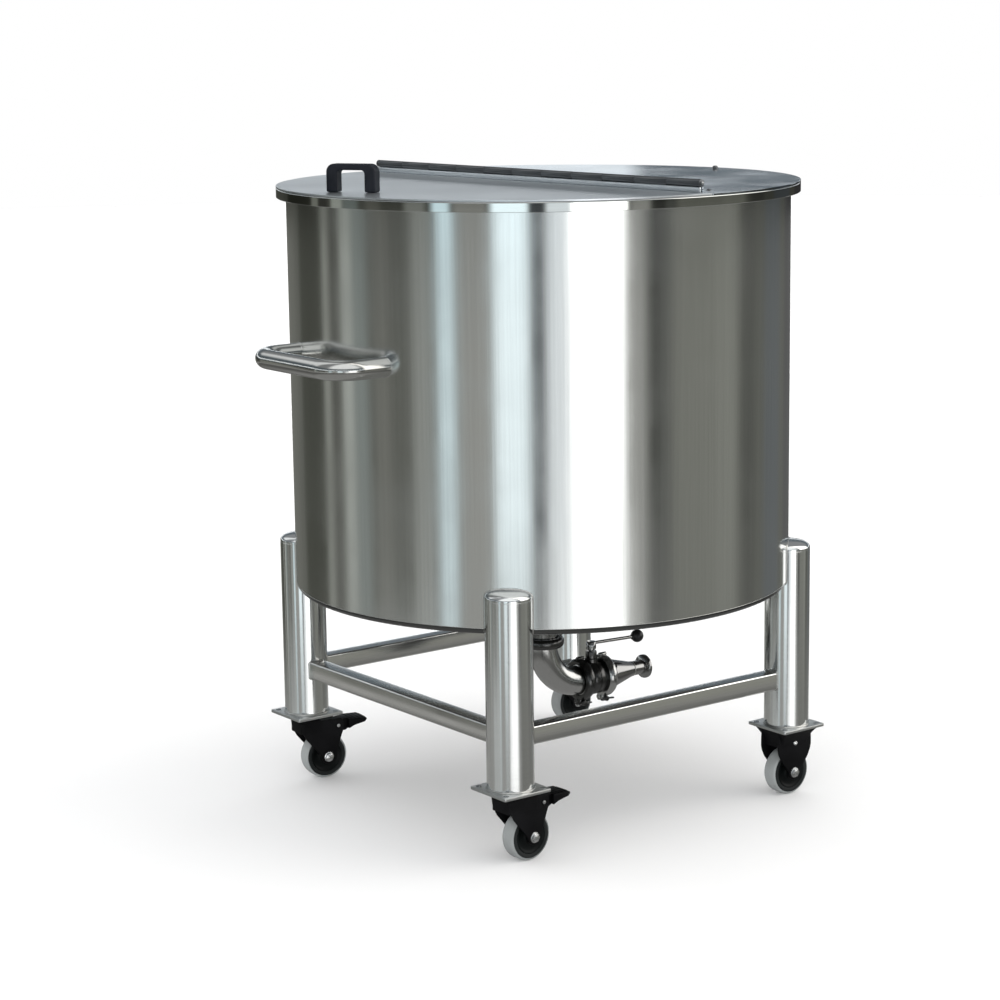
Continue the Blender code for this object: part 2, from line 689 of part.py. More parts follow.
def make_clamp(name, joint, parent, upright):
    """A ring that grips two collars, with a pair of lugs drawn together by a bolt."""
    width = CLAMP_HALF_WIDTH
    grip = COLLAR_WIDTH + 0.0006
    seat = COLLAR_RADIUS + GAP
    lip = PIPE_RADIUS + 0.002
    profile = [(CLAMP_RADIUS, width - 0.001), (CLAMP_RADIUS, 0.001 - width), (CLAMP_RADIUS - 0.001, -width),
               (lip, -width), (lip, -grip), (seat, -grip), (seat, grip), (lip, grip), (lip, width),
               (CLAMP_RADIUS - 0.001, width)]
    ring = turned(name, profile, TUBE_SIDES, STEEL, parent)
    lugs = tool(name + "_lugs", box_mesh("lugs", (-0.008, CLAMP_RADIUS - 0.003, -0.0065),
                                         (0.008, CLAMP_RADIUS + 0.009, 0.0065)), parent)
    for item in (ring, lugs):
        if upright:
            item.location = (0.0, 0.0, joint)
            item.rotation_euler = (0.0, 0.0, math.pi)
        else:
            item.location = (0.0, joint, PIPE_HEIGHT)
            item.rotation_euler = (-math.pi / 2, 0.0, 0.0)
    boolean(ring, lugs, "UNION")


def lay_along_y(item):
    item.location = (0.0, 0.0, PIPE_HEIGHT)
    item.rotation_euler = (-math.pi / 2, 0.0, 0.0)


def make_neck(axis):
    joint = NECK_JOINT + GAP / 2
    top = BOTTOM_CENTRE + SHELL_WALL
    profile = [(PIPE_RADIUS, top), (PIPE_RADIUS, joint + COLLAR_WIDTH), (COLLAR_RADIUS, joint + COLLAR_WIDTH),
               (COLLAR_RADIUS, joint), (PIPE_BORE, joint), (PIPE_BORE, top)]
    turned("outlet_neck", profile, TUBE_SIDES, STEEL, axis)
    make_clamp("neck_clamp", NECK_JOINT, axis, True)


def make_elbow(axis):
    """A quarter bend from the neck to the valve, with a collar at each end."""
    top = NECK_JOINT - GAP / 2
    end = VALVE_INLET_JOINT - GAP / 2
    bend = arc((ELBOW_RADIUS, PIPE_HEIGHT + ELBOW_RADIUS), ELBOW_RADIUS, 180.0, 270.0, 7)
    inside = 0.001
    path = [(0.0, 0.0, top - inside)]
    path += [(0.0, y, z) for y, z in bend]
    path.append((0.0, end - inside, PIPE_HEIGHT))
    elbow = tube_along("outlet_elbow", path, PIPE_RADIUS, STEEL, axis)
    collars = (
        rod_mesh("collar", COLLAR_RADIUS, COLLAR_WIDTH, (0.0, 0.0, top - COLLAR_WIDTH / 2)),
        rod_mesh("collar", COLLAR_RADIUS, COLLAR_WIDTH, (0.0, end - COLLAR_WIDTH / 2, PIPE_HEIGHT), "Y"),
    )
    for number, collar in enumerate(collars):
        boolean(elbow, tool(f"elbow_collar_{number}", collar, axis), "UNION")
    beyond = 0.01
    bore_path = [(0.0, 0.0, top + beyond)] + path[1:-1] + [(0.0, end + beyond, PIPE_HEIGHT)]
    bore = tube_along("elbow_bore", bore_path, PIPE_BORE, None, axis, cutter=True)
    boolean(elbow, bore, "DIFFERENCE")
    smooth(elbow)


def make_valve(axis):
    """A short round body between two collars, with a stem boss on top and a lever."""
    first = VALVE_INLET_JOINT + GAP / 2
    last = VALVE_OUTLET_JOINT - GAP / 2
    neck = 0.012
    slope = 0.002
    profile = [(COLLAR_RADIUS, last), (COLLAR_RADIUS, last - COLLAR_WIDTH), (VALVE_NECK, last - COLLAR_WIDTH),
               (VALVE_NECK, last - neck), (VALVE_BODY_RADIUS, last - neck - slope),
               (VALVE_BODY_RADIUS, first + neck + slope), (VALVE_NECK, first + neck),
               (VALVE_NECK, first + COLLAR_WIDTH), (COLLAR_RADIUS, first + COLLAR_WIDTH),
               (COLLAR_RADIUS, first), (PIPE_BORE, first), (PIPE_BORE, last)]
    body = turned("valve_body", profile, TUBE_SIDES, STEEL, axis)
    lay_along_y(body)
    middle = (VALVE_INLET_JOINT + VALVE_OUTLET_JOINT) / 2
    hub_height = 0.014
    boss_top = LEVER_HEIGHT - hub_height / 2 - 0.003
    boss_bottom = PIPE_HEIGHT + VALVE_NECK - 0.001
    boss = rod_mesh(
        "boss", STEM_BOSS_RADIUS, boss_top - boss_bottom, (0.0, middle, (boss_top + boss_bottom) / 2), "Z", 16)
    boolean(body, tool("valve_boss", boss, axis), "UNION")
    stem_radius = 0.004
    socket_depth = 0.012
    socket = rod_mesh("socket", stem_radius + 0.0005, 2 * socket_depth, (0.0, middle, boss_top), "Z", 12)
    boolean(body, tool("valve_socket", socket, axis), "DIFFERENCE")

    pivot = add_empty("lever_axis", (0.0, middle, LEVER_HEIGHT), axis)
    hub = rod_mesh("valve_lever", LEVER_HUB_RADIUS, hub_height, (0.0, 0.0, 0.0), "Z", 16)
    lever = add_object("valve_lever", hub, STEEL, pivot)
    rod_start = LEVER_HUB_RADIUS / 2
    rod_end = LEVER_LENGTH - KNOB_RADIUS - GAP
    rod_middle = (0.0, (rod_end + rod_start) / 2, 0.0)
    rod = rod_mesh("rod", LEVER_ROD_RADIUS, rod_end - rod_start, rod_middle, "Y", 12)
    boolean(lever, tool("lever_rod", rod, pivot), "UNION")
    stem_length = 0.016
    stem = rod_mesh("stem", stem_radius, stem_length, (0.0, 0.0, 0.004 - stem_length), "Z", 12)
    boolean(lever, tool("lever_stem", stem, pivot), "UNION")
    bm = bmesh.new()
    bmesh.ops.create_uvsphere(bm, u_segments=14, v_segments=9, radius=KNOB_RADIUS)
    bmesh.ops.rotate(bm, matrix=Matrix.Rotation(math.pi / 2, 3, "X"), verts=bm.verts)
    bmesh.ops.translate(bm, vec=(0.0, LEVER_LENGTH, 0.0), verts=bm.verts)
    knob = add_object("lever_knob", mesh_from(bm, "lever_knob"), BLACK_PLASTIC, pivot)
    smooth(knob)

    make_clamp("valve_inlet_clamp", VALVE_INLET_JOINT, axis, False)
    make_clamp("valve_outlet_clamp", VALVE_OUTLET_JOINT, axis, False)


def make_reducer(axis):
    """A cone from the valve down to the small ferrule that ends the outlet."""
    start = VALVE_OUTLET_JOINT + GAP / 2
    cone_start = start + REDUCER_STRAIGHT
    cone_end = REDUCER_END - FERRULE_LENGTH
    profile = [(REDUCER_SMALL, cone_end), (PIPE_RADIUS, cone_start), (PIPE_RADIUS, start + COLLAR_WIDTH),
               (COLLAR_RADIUS, start + COLLAR_WIDTH), (COLLAR_RADIUS, start), (PIPE_BORE, start),
               (PIPE_BORE, cone_start), (REDUCER_BORE, cone_end)]
    lay_along_y(turned("outlet_reducer", profile, TUBE_SIDES, STEEL, axis))

    ferrule_start = cone_end + GAP
    collar = REDUCER_END - FERRULE_COLLAR
    profile = [(REDUCER_COLLAR, REDUCER_END), (REDUCER_COLLAR, collar), (REDUCER_SMALL, collar - FERRULE_SLOPE),
               (REDUCER_SMALL, ferrule_start), (REDUCER_BORE, ferrule_start), (REDUCER_BORE, REDUCER_END)]
    lay_along_y(turned("outlet_ferrule", profile, TUBE_SIDES, STEEL, axis))


tank_axis = add_empty("tank_axis", (0.0, TANK_Y, 0.0))
make_vessel(tank_axis)
make_lid(tank_axis)
make_push_handle(tank_axis)
make_frame(tank_axis)
make_castors(tank_axis)
make_neck(tank_axis)
make_elbow(tank_axis)
make_valve(tank_axis)
make_reducer(tank_axis)
bpy.context.view_layer.update()
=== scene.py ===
"""Looks of the mobile stainless steel storage tank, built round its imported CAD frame.

The file follows the tank as it is put together: the camera and studio, the
vessel, its rim and lid, the push handle, the frame, the castors, and the
outlet with its valve.
"""
import math

import bmesh
import bpy
from mathutils import Matrix, Vector


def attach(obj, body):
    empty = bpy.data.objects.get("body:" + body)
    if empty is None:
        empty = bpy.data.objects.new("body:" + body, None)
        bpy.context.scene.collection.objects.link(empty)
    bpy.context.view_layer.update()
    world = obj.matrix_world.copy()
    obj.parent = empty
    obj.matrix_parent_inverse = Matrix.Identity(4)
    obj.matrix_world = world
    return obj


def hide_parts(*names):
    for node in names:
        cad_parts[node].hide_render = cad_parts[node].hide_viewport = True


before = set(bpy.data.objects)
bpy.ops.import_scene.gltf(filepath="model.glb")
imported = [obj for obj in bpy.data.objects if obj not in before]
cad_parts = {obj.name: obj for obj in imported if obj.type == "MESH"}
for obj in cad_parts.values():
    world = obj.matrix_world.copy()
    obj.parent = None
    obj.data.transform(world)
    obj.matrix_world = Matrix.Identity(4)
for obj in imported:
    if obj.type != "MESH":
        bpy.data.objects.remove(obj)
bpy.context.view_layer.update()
scene = bpy.context.scene

# The camera stands where the photograph was taken from, a little above the
# rim and 4.4 m away. Its place, heading and lens were fitted to the tank's edges.
tank_y = 0.034
camera_round = math.radians(52.2404)
camera_place = Vector((3.4418, tank_y - 2.6659, 1.3350))
camera_pitch = math.radians(10.7749)
camera_yaw = math.radians(-0.9246)
camera_roll = math.radians(-0.7695)
camera_focal = 2595.9
picture_width = 1000
sensor_width = 36.0

outward = Vector((math.sin(camera_round), -math.cos(camera_round), 0.0))
sideways = Vector((math.cos(camera_round), math.sin(camera_round), 0.0))
upright = Vector((0.0, 0.0, 1.0))
level = sideways * math.sin(camera_yaw) - outward * math.cos(camera_yaw)
across = sideways * math.cos(camera_yaw) + outward * math.sin(camera_yaw)
forward = level * math.cos(camera_pitch) - upright * math.sin(camera_pitch)
above = upright * math.cos(camera_pitch) + level * math.sin(camera_pitch)
right = across * math.cos(camera_roll) + above * math.sin(camera_roll)
top = above * math.cos(camera_roll) - across * math.sin(camera_roll)

camera_data = bpy.data.cameras.new("camera")
camera_data.sensor_width = sensor_width
camera_data.lens = camera_focal / picture_width * sensor_width
camera_data.clip_end = 60.0
camera = bpy.data.objects.new("camera", camera_data)
turn = Matrix((right, top, -forward)).transposed().to_4x4()
camera.matrix_world = Matrix.Translation(camera_place) @ turn
scene.collection.objects.link(camera)
scene.camera = camera

# The studio is a room with soft boxes and grey flats round the tank: for each the angle
# round from the camera, half width, soft edge and brightness. Each EDGE is where one
# band of the room fades into the next, from -1 straight down to 1 straight up.
ROOM_TONE = (0.155, 0.158, 0.142)
LOW_TONE = (0.42, 0.42, 0.41)
LOW_PANELS = {
    "low left flat": (-122.0, 32.0, 6.0, (0.36, 0.36, 0.35)),
    "low left box": (-61.0, 20.0, 4.0, (0.62, 0.64, 0.64)),
    "low key box": (22.0, 21.0, 7.0, (1.6, 1.6, 1.6)),
    "low right flat": (100.0, 42.0, 6.0, (0.23, 0.23, 0.22)),
}
STUDIO_PANELS = {
    "left corner": (-163.0, 16.0, 2.2, (0.17, 0.172, 0.155)),
    "left dark flat": (-128.0, 12.0, 2.2, (0.082, 0.084, 0.072)),
    "left slit": (-112.5, 2.6, 1.0, (0.36, 0.37, 0.34)),
    "left gap": (-106.0, 2.8, 1.0, (0.12, 0.12, 0.11)),
    "left pale edge": (-96.5, 4.0, 1.5, (0.50, 0.52, 0.49)),
    "left blue flat": (-88.0, 4.5, 2.2, (0.28, 0.31, 0.30)),
    "left grey flat": (-75.0, 4.0, 2.2, (0.22, 0.22, 0.20)),
    "left near flat": (-54.0, 5.0, 2.2, (0.36, 0.37, 0.35)),
    "strip light": (-42.0, 4.2, 2.2, (0.92, 1.08, 1.14)),
    "warm flat": (-29.0, 7.5, 2.2, (0.41, 0.41, 0.39)),
    "fill box": (-12.1, 8.2, 2.2, (1.28, 1.42, 1.48)),
    "middle gap": (-0.4, 3.2, 1.2, (0.13, 0.14, 0.15)),
    "key box edge": (8.6, 5.6, 1.5, (1.03, 1.08, 1.12)),
    "key box": (26.0, 12.2, 1.6, (2.3, 2.3, 2.3)),
    "key box spill": (44.0, 4.5, 2.0, (0.44, 0.44, 0.42)),
    "right black flat": (53.0, 3.4, 1.5, (0.085, 0.087, 0.08)),
    "right dark flat": (58.5, 2.5, 2.0, (0.155, 0.158, 0.148)),
    "right olive flat": (79.3, 17.9, 2.2, (0.25, 0.253, 0.228)),
    "right pale flat": (93.5, 7.0, 3.0, (0.285, 0.289, 0.262)),
    "right slot": (109.0, 5.0, 2.2, (0.12, 0.122, 0.112)),
    "right teal flat": (132.0, 9.0, 2.2, (0.155, 0.166, 0.172)),
    "right corner": (163.0, 14.0, 2.2, (0.12, 0.12, 0.12)),
}
UPPER_CONTRAST = 1.6
BACK_WALL = (0.12, 0.145, 0.165)
BACK_SCREEN = (0.80, 0.86, 0.90)
TOP_LIGHT = (2.0, 2.08, 2.14)
CEILING_TONE = (0.30, 0.31, 0.32)
CEILING_PANELS = {
    "high right box": (92.0, 26.0, 6.0, (2.3, 2.26, 2.2)),
    "high left box": (-120.0, 20.0, 8.0, (1.05, 1.07, 1.09)),
    "high front box": (0.0, 50.0, 10.0, (1.3, 1.32, 1.34)),
}
SKIRTING_TONE = (0.15, 0.15, 0.145)
FLOOR_TONE = (0.34, 0.34, 0.335)
HORIZON_LIGHT = (2.9, 2.9, 2.9)
SLANTED_LIGHT = (0.62, 0.62, 0.62)
OVERHEAD_LIGHT = (1.25, 1.25, 1.25)
WHITE = (1.0, 1.0, 1.0)
FLOOR_EDGE = (-0.45, -0.60)
SKIRTING_EDGE = (-0.31, -0.34)
LOW_EDGE = (-0.243, -0.258)
CONTRAST_EDGE = (-0.0815, -0.0765)
BACK_WALL_EDGE = (-0.02, 0.03)
HIGH_BOX_EDGE = (0.02, 0.06)
TOP_LIGHT_LOW_EDGE = (0.082, 0.095)
TOP_LIGHT_HIGH_EDGE = (0.155, 0.135)
CEILING_EDGE = (0.34, 0.50)
SLANTED_EDGE = (0.25, 0.60)
OVERHEAD_EDGE = (0.75, 0.95)
RIGHT_SCREEN_SIDE = (177.5, 178.2)
LEFT_SCREEN_SIDE = (-150.0, -170.0)
HIGH_BOX_SIDES = (58.0, 66.0), (124.0, 116.0)


def colour_mix(tree, share, first, second):
    """Mixes two colours, each a fixed tone or another node's output, by a share."""
    node = tree.nodes.new("ShaderNodeMix")
    node.data_type = "RGBA"
    tree.links.new(share, node.inputs["Factor"])
    sockets = [s for s in node.inputs if s.type == "RGBA"]
    for socket, value in zip(sockets, (first, second)):
        if isinstance(value, tuple):
            socket.default_value = (*value, 1.0)
        else:
            tree.links.new(value, socket)
    return [s for s in node.outputs if s.type == "RGBA"][0]


world = bpy.data.worlds.new("studio")
scene.world = world
world.use_nodes = True
sky = world.node_tree
sky.nodes.clear()


def sky_node(kind, **settings):
    node = sky.nodes.new(kind)
    for name, value in settings.items():
        setattr(node, name, value)
    return node


def sky_range(source, low, high):
    node = sky_node("ShaderNodeMapRange", interpolation_type="SMOOTHSTEP")
    node.inputs["From Min"].default_value = low
    node.inputs["From Max"].default_value = high
    sky.links.new(source, node.inputs["Value"])
    return node.outputs["Result"]


def sky_mix(share, first, second):
    return colour_mix(sky, share, first, second)


look = sky_node("ShaderNodeTexCoord")
turned_look = sky_node("ShaderNodeVectorRotate", rotation_type="Z_AXIS")
turned_look.inputs["Angle"].default_value = math.pi / 2 - camera_round
sky.links.new(look.outputs["Generated"], turned_look.inputs["Vector"])
parts = sky_node("ShaderNodeSeparateXYZ")
sky.links.new(turned_look.outputs["Vector"], parts.inputs["Vector"])
angle = sky_node("ShaderNodeMath", operation="ARCTAN2")
sky.links.new(parts.outputs["Y"], angle.inputs[0])
sky.links.new(parts.outputs["X"], angle.inputs[1])


def sky_turn(first, last):
    """Rises from the first to the last angle round from the camera, in degrees."""
    return sky_range(angle.outputs["Value"], math.radians(first), math.radians(last))


def sky_product(first, second):
    node = sky_node("ShaderNodeMath", operation="MULTIPLY")
    sky.links.new(first, node.inputs[0])
    sky.links.new(second, node.inputs[1])
    return node.outputs["Value"]


def standing(panels, room):
    """The room's tone with each panel laid over it."""
    for middle, half_width, edge, tone in panels.values():
        distance = sky_node("ShaderNodeMath", operation="SUBTRACT")
        sky.links.new(angle.outputs["Value"], distance.inputs[0])
        distance.inputs[1].default_value = math.radians(middle)
        apart = sky_node("ShaderNodeMath", operation="ABSOLUTE")
        sky.links.new(distance.outputs["Value"], apart.inputs[0])
        outer, inner = math.radians(half_width + edge), math.radians(half_width - edge)
        room = sky_mix(sky_range(apart.outputs["Value"], outer, inner), room, tone)
    return room


height = parts.outputs["Z"]
eye_level = standing(STUDIO_PANELS, ROOM_TONE)
low_level = standing(LOW_PANELS, LOW_TONE)
contrast = sky_node("ShaderNodeGamma")
contrast.inputs["Gamma"].default_value = UPPER_CONTRAST
sky.links.new(eye_level, contrast.inputs["Color"])
upper_room = sky_mix(sky_range(height, *CONTRAST_EDGE), eye_level, contrast.outputs["Color"])
behind = sky_mix(sky_turn(*RIGHT_SCREEN_SIDE), BACK_WALL, BACK_SCREEN)
behind = sky_mix(sky_turn(*LEFT_SCREEN_SIDE), behind, BACK_SCREEN)
top_light = sky_mix(sky_range(height, *TOP_LIGHT_HIGH_EDGE), BACK_WALL, TOP_LIGHT)
behind = sky_mix(sky_range(height, *TOP_LIGHT_LOW_EDGE), behind, top_light)
back_wall = sky_mix(sky_range(height, *BACK_WALL_EDGE), upper_room, behind)
ceiling = standing(CEILING_PANELS, CEILING_TONE)
walls = sky_mix(sky_range(height, *CEILING_EDGE), back_wall, ceiling)
beside, beyond = (sky_turn(*side) for side in HIGH_BOX_SIDES)
high_box = sky_product(sky_product(beside, beyond), sky_range(height, *HIGH_BOX_EDGE))
walls = sky_mix(high_box, walls, CEILING_PANELS["high right box"][3])
lower_room = sky_mix(sky_range(height, *LOW_EDGE), walls, low_level)
skirting = sky_mix(sky_range(height, *FLOOR_EDGE), SKIRTING_TONE, FLOOR_TONE)
everywhere = sky_mix(sky_range(height, *SKIRTING_EDGE), lower_room, skirting)
slanted = sky_mix(sky_range(height, *SLANTED_EDGE), HORIZON_LIGHT, SLANTED_LIGHT)
dome = sky_mix(sky_range(height, *OVERHEAD_EDGE), slanted, OVERHEAD_LIGHT)
rays = sky_node("ShaderNodeLightPath")
lit = sky_mix(rays.outputs["Is Diffuse Ray"], everywhere, dome)
seen = sky_mix(rays.outputs["Is Camera Ray"], lit, WHITE)
background = sky_node("ShaderNodeBackground")
sky.links.new(seen, background.inputs["Color"])
output = sky_node("ShaderNodeOutputWorld")
sky.links.new(background.outputs["Background"], output.inputs["Surface"])

scene.view_settings.view_transform = "Standard"

FLOOR_PAINT = (0.92, 0.92, 0.92)
floor_radius = 14.0
floor_mesh = bpy.data.meshes.new("studio_floor")
bm = bmesh.new()
bmesh.ops.create_circle(bm, cap_ends=True, segments=96, radius=floor_radius)
bm.to_mesh(floor_mesh)
bm.free()
floor = bpy.data.objects.new("studio_floor", floor_mesh)
floor.visible_glossy = False
scene.collection.objects.link(floor)
floor_material = bpy.data.materials.new("studio_floor_paint")
floor_material.use_nodes = True
floor_shader = floor_material.node_tree.nodes["Principled BSDF"]
floor_shader.inputs["Base Color"].default_value = (*FLOOR_PAINT, 1.0)
floor_shader.inputs["Roughness"].default_value = 0.9
floor_shader.inputs["Specular IOR Level"].default_value = 0.0
floor_mesh.materials.append(floor_material)

# The vessel is a rolled sheet of stainless steel, 840 mm across, ground with a fine
# grit, on a pressed bottom. The grinding leaves upright lines and handling leaves smudges.
shell_radius = 0.420
shell_wall = 0.003
knuckle = 0.010
bottom_line = 0.370
bottom_centre = 0.355
rim_top = 1.0447
smooth_sides = 192
SHELL_STEEL = (0.64, 0.65, 0.635)
# The bottom's dark tone is painted shade: it is the same steel as the wall, darkened to stand for the shade
# under the vessel.
SHADED_BOTTOM_STEEL = (0.13, 0.132, 0.13)
WELD_STEEL = (0.50, 0.50, 0.48)


def effect_group(name, inputs, outputs):
    """A node group with named float, colour or vector sockets."""
    group = bpy.data.node_groups.new(name, "ShaderNodeTree")
    for label, kind, value in inputs:
        socket = group.interface.new_socket(label, in_out="INPUT", socket_type=kind)
        socket.default_value = value
    for label, kind in outputs:
        group.interface.new_socket(label, in_out="OUTPUT", socket_type=kind)
    return group, group.nodes.new("NodeGroupInput"), group.nodes.new("NodeGroupOutput")


brushing, start, end = effect_group(
    "brushed_lines",
    [("Place", "NodeSocketVector", (0.0, 0.0, 0.0)),
     ("Stretch", "NodeSocketVector", (400.0, 400.0, 4.0)),
     ("Smudge Size", "NodeSocketFloat", 7.0)],
    [("Lines", "NodeSocketFloat"), ("Smudges", "NodeSocketFloat")])
stretched = brushing.nodes.new("ShaderNodeVectorMath")
stretched.operation = "MULTIPLY"
brushing.links.new(start.outputs["Place"], stretched.inputs[0])
brushing.links.new(start.outputs["Stretch"], stretched.inputs[1])
line_noise = brushing.nodes.new("ShaderNodeTexNoise")
line_noise.inputs["Scale"].default_value = 1.0
line_noise.inputs["Detail"].default_value = 5.0
line_noise.inputs["Roughness"].default_value = 0.65
brushing.links.new(stretched.outputs["Vector"], line_noise.inputs["Vector"])
smudge_noise = brushing.nodes.new("ShaderNodeTexNoise")
smudge_noise.inputs["Detail"].default_value = 3.0
smudge_noise.inputs["Distortion"].default_value = 0.4
brushing.links.new(start.outputs["Place"], smudge_noise.inputs["Vector"])
brushing.links.new(start.outputs["Smudge Size"], smudge_noise.inputs["Scale"])
brushing.links.new(line_noise.outputs["Fac"], end.inputs["Lines"])
brushing.links.new(smudge_noise.outputs["Fac"], end.inputs["Smudges"])


def surface(name, metallic, stretch, smudge_size):
    """A new material with the lines and smudges group laid over it."""
    material = bpy.data.materials.new(name)
    material.use_nodes = True
    tree = material.node_tree
    shader = tree.nodes["Principled BSDF"]
    shader.inputs["Metallic"].default_value = metallic
    place = tree.nodes.new("ShaderNodeTexCoord")
    lines = tree.nodes.new("ShaderNodeGroup")
    lines.node_tree = brushing
    lines.inputs["Stretch"].default_value = stretch
    lines.inputs["Smudge Size"].default_value = smudge_size
    tree.links.new(place.outputs["Object"], lines.inputs["Place"])
    return material, tree, shader, lines


def spread_over(tree, source, low, high, lowest=0.35, highest=0.65):
    """Maps a wandering value onto a range."""
    node = tree.nodes.new("ShaderNodeMapRange")
    node.inputs["From Min"].default_value = lowest
    node.inputs["From Max"].default_value = highest
    node.inputs["To Min"].default_value = low
    node.inputs["To Max"].default_value = high
    tree.links.new(source, node.inputs["Value"])
    return node.outputs["Result"]


def finish_off(tree, lines, shader, roughness, spread, depth):
    """Lets the smudges spread the roughness, and raises the brushed lines."""
    dullness = spread_over(tree, lines.outputs["Smudges"], roughness, roughness + spread)
    tree.links.new(dullness, shader.inputs["Roughness"])
    bump = tree.nodes.new("ShaderNodeBump")
    bump.inputs["Distance"].default_value = depth
    tree.links.new(lines.outputs["Lines"], bump.inputs["Height"])
    tree.links.new(bump.outputs["Normal"], shader.inputs["Normal"])


def steel(name, colour, roughness, stretch, depth, contrast=0.10, spread=0.05, smudge_size=7.0):
    """Stainless steel with brushed lines, whose roughness and colour wander a little."""
    material, tree, shader, lines = surface(name, 1.0, stretch, smudge_size)
    tint = tree.nodes.new("ShaderNodeVectorMath")
    tint.operation = "SCALE"
    tint.inputs[0].default_value = colour
    shade = spread_over(tree, lines.outputs["Lines"], 1.0 - contrast, 1.0 + contrast, 0.0, 1.0)
    tree.links.new(shade, tint.inputs["Scale"])
    tree.links.new(tint.outputs["Vector"], shader.inputs["Base Color"])
    finish_off(tree, lines, shader, roughness, spread, depth)
    return material


def moulded(name, colour, worn_colour, roughness, grain, depth, shine=0.5, spread=0.12, smudge_size=14.0):
    """Paint, plastic or rubber with a fine grain and patches of wear."""
    material, tree, shader, lines = surface(name, 0.0, (grain, grain, grain), smudge_size)
    shader.inputs["Specular IOR Level"].default_value = shine
    worn = spread_over(tree, lines.outputs["Smudges"], 0.0, 1.0, 0.42, 0.72)
    tree.links.new(colour_mix(tree, worn, colour, worn_colour), shader.inputs["Base Color"])
    finish_off(tree, lines, shader, roughness, spread, depth)
    return material


def arc(centre, radius, first, last, steps):
    """Points on an arc from the first to the last angle, in degrees."""
    turns = [math.radians(first + (last - first) * i / steps) for i in range(steps + 1)]
    return [(centre[0] + radius * math.cos(t), centre[1] + radius * math.sin(t)) for t in turns]


def turned(outline, sides, closed=True):
    """A mesh from an outline of (radius, height), spun once round the Z axis."""
    bm = bmesh.new()
    corners = [bm.verts.new((radius, 0.0, z)) for radius, z in outline]
    pairs = list(zip(corners, corners[1:]))
    if closed:
        pairs.append((corners[-1], corners[0]))
    edges = [bm.edges.new(pair) for pair in pairs]
    bmesh.ops.spin(
        bm, geom=corners + edges, cent=(0, 0, 0), axis=(0, 0, 1), angle=2 * math.pi, steps=sides,
        use_merge=True)
    bmesh.ops.remove_doubles(bm, verts=bm.verts, dist=1e-6)
    bmesh.ops.recalc_face_normals(bm, faces=bm.faces)
    return bm


def along(points, radius, resolution=6, ring=False, ripple=0.0, beats=0.0):
    """A round bar along a path, or a weld bead where its thickness ripples."""
    curve = bpy.data.curves.new("path", "CURVE")
    curve.dimensions = "3D"
    curve.bevel_depth = radius
    curve.bevel_resolution = resolution
    curve.use_fill_caps = not ring
    spline = curve.splines.new("POLY")
    spline.points.add(len(points) - 1)
    spline.use_cyclic_u = ring
    for number, (place, point) in enumerate(zip(spline.points, points)):
        place.co = (*point, 1.0)
        place.radius = 1.0 + ripple * math.sin(beats * number)
    holder = bpy.data.objects.new("path", curve)
    mesh = bpy.data.meshes.new_from_object(holder)
    bm = bmesh.new()
    bm.from_mesh(mesh)
    bmesh.ops.remove_doubles(bm, verts=bm.verts, dist=1e-6)
    bmesh.ops.recalc_face_normals(bm, faces=bm.faces)
    bpy.data.objects.remove(holder)
    bpy.data.curves.remove(curve)
    bpy.data.meshes.remove(mesh)
    return bm


def rounded(bm, width, segments=2, degrees=35.0):
    """Rounds every edge that turns by more than the given angle."""
    sharp = [e for e in bm.edges if e.is_manifold and e.calc_face_angle() > math.radians(degrees)]
    bmesh.ops.bevel(
        bm, geom=sharp, offset=width, offset_type="OFFSET", segments=segments, profile=0.5,
        affect="EDGES", clamp_overlap=True, material=-1)
    return bm


def moved(bm, place):
    bmesh.ops.transform(bm, matrix=place, verts=bm.verts)
    return bm


def joined(*pieces):
    """Several meshes as one."""
    whole = bmesh.new()
    for piece in pieces:
        mesh = bpy.data.meshes.new("part")
        piece.to_mesh(mesh)
        piece.free()
        whole.from_mesh(mesh)
        bpy.data.meshes.remove(mesh)
    return whole


def shifted(x, y, z):
    return Matrix.Translation((x, y, z))


def swung(degrees, axis):
    return Matrix.Rotation(math.radians(degrees), 4, axis)


def finished(
        name, bm, material, *stands_for, body="frame_and_tank", slot="polished_steel", place=Matrix(),
        smooth=40.0):
    """Turns a bmesh into a piece in its place, on its body, in place of its CAD nodes."""
    moved(bm, place)
    mesh = bpy.data.meshes.new(name)
    bm.to_mesh(mesh)
    bm.free()
    mesh.shade_smooth()
    mesh.set_sharp_from_angle(angle=math.radians(smooth))
    mesh.materials.append(material)
    piece = bpy.data.objects.new(name, mesh)
    scene.collection.objects.link(piece)
    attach(piece, body)
    if stands_for:
        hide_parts(*stands_for)
    return piece


on_axis = shifted(0.0, tank_y, 0.0)
shell_steel = steel("ground_shell_steel", SHELL_STEEL, 0.13, (260.0, 260.0, 2.5), 0.00002)
shaded_bottom_steel = steel("pressed_bottom_in_painted_shade", SHADED_BOTTOM_STEEL, 0.16, (18.0, 18.0, 500.0), 0.00002)
weld_steel = steel("weld_bead_steel", WELD_STEEL, 0.28, (900.0, 900.0, 900.0), 0.0001, contrast=0.25)

shell_bottom = bottom_line + knuckle
shell_inside = shell_radius - shell_wall
wall = turned(
    [(shell_radius, rim_top), (shell_radius, shell_bottom),
     (shell_inside, shell_bottom), (shell_inside, rim_top)], smooth_sides)
finished("vessel_wall", wall, shell_steel, "tank_shell", place=on_axis)

knuckle_centre = (shell_radius - knuckle, shell_bottom)
pipe_hole = 0.0255
dish_radius = 0.20
dish_height = 0.3606
pressed = arc(knuckle_centre, knuckle, 0.0, -90.0, 12)
pressed += [(dish_radius, dish_height), (pipe_hole, bottom_centre), (pipe_hole, bottom_centre + shell_wall),
            (dish_radius, dish_height + shell_wall)]
pressed += arc(knuckle_centre, knuckle - shell_wall, -90.0, 0.0, 12)
finished("vessel_bottom", turned(pressed, smooth_sides), shaded_bottom_steel, "tank_bottom", place=on_axis)

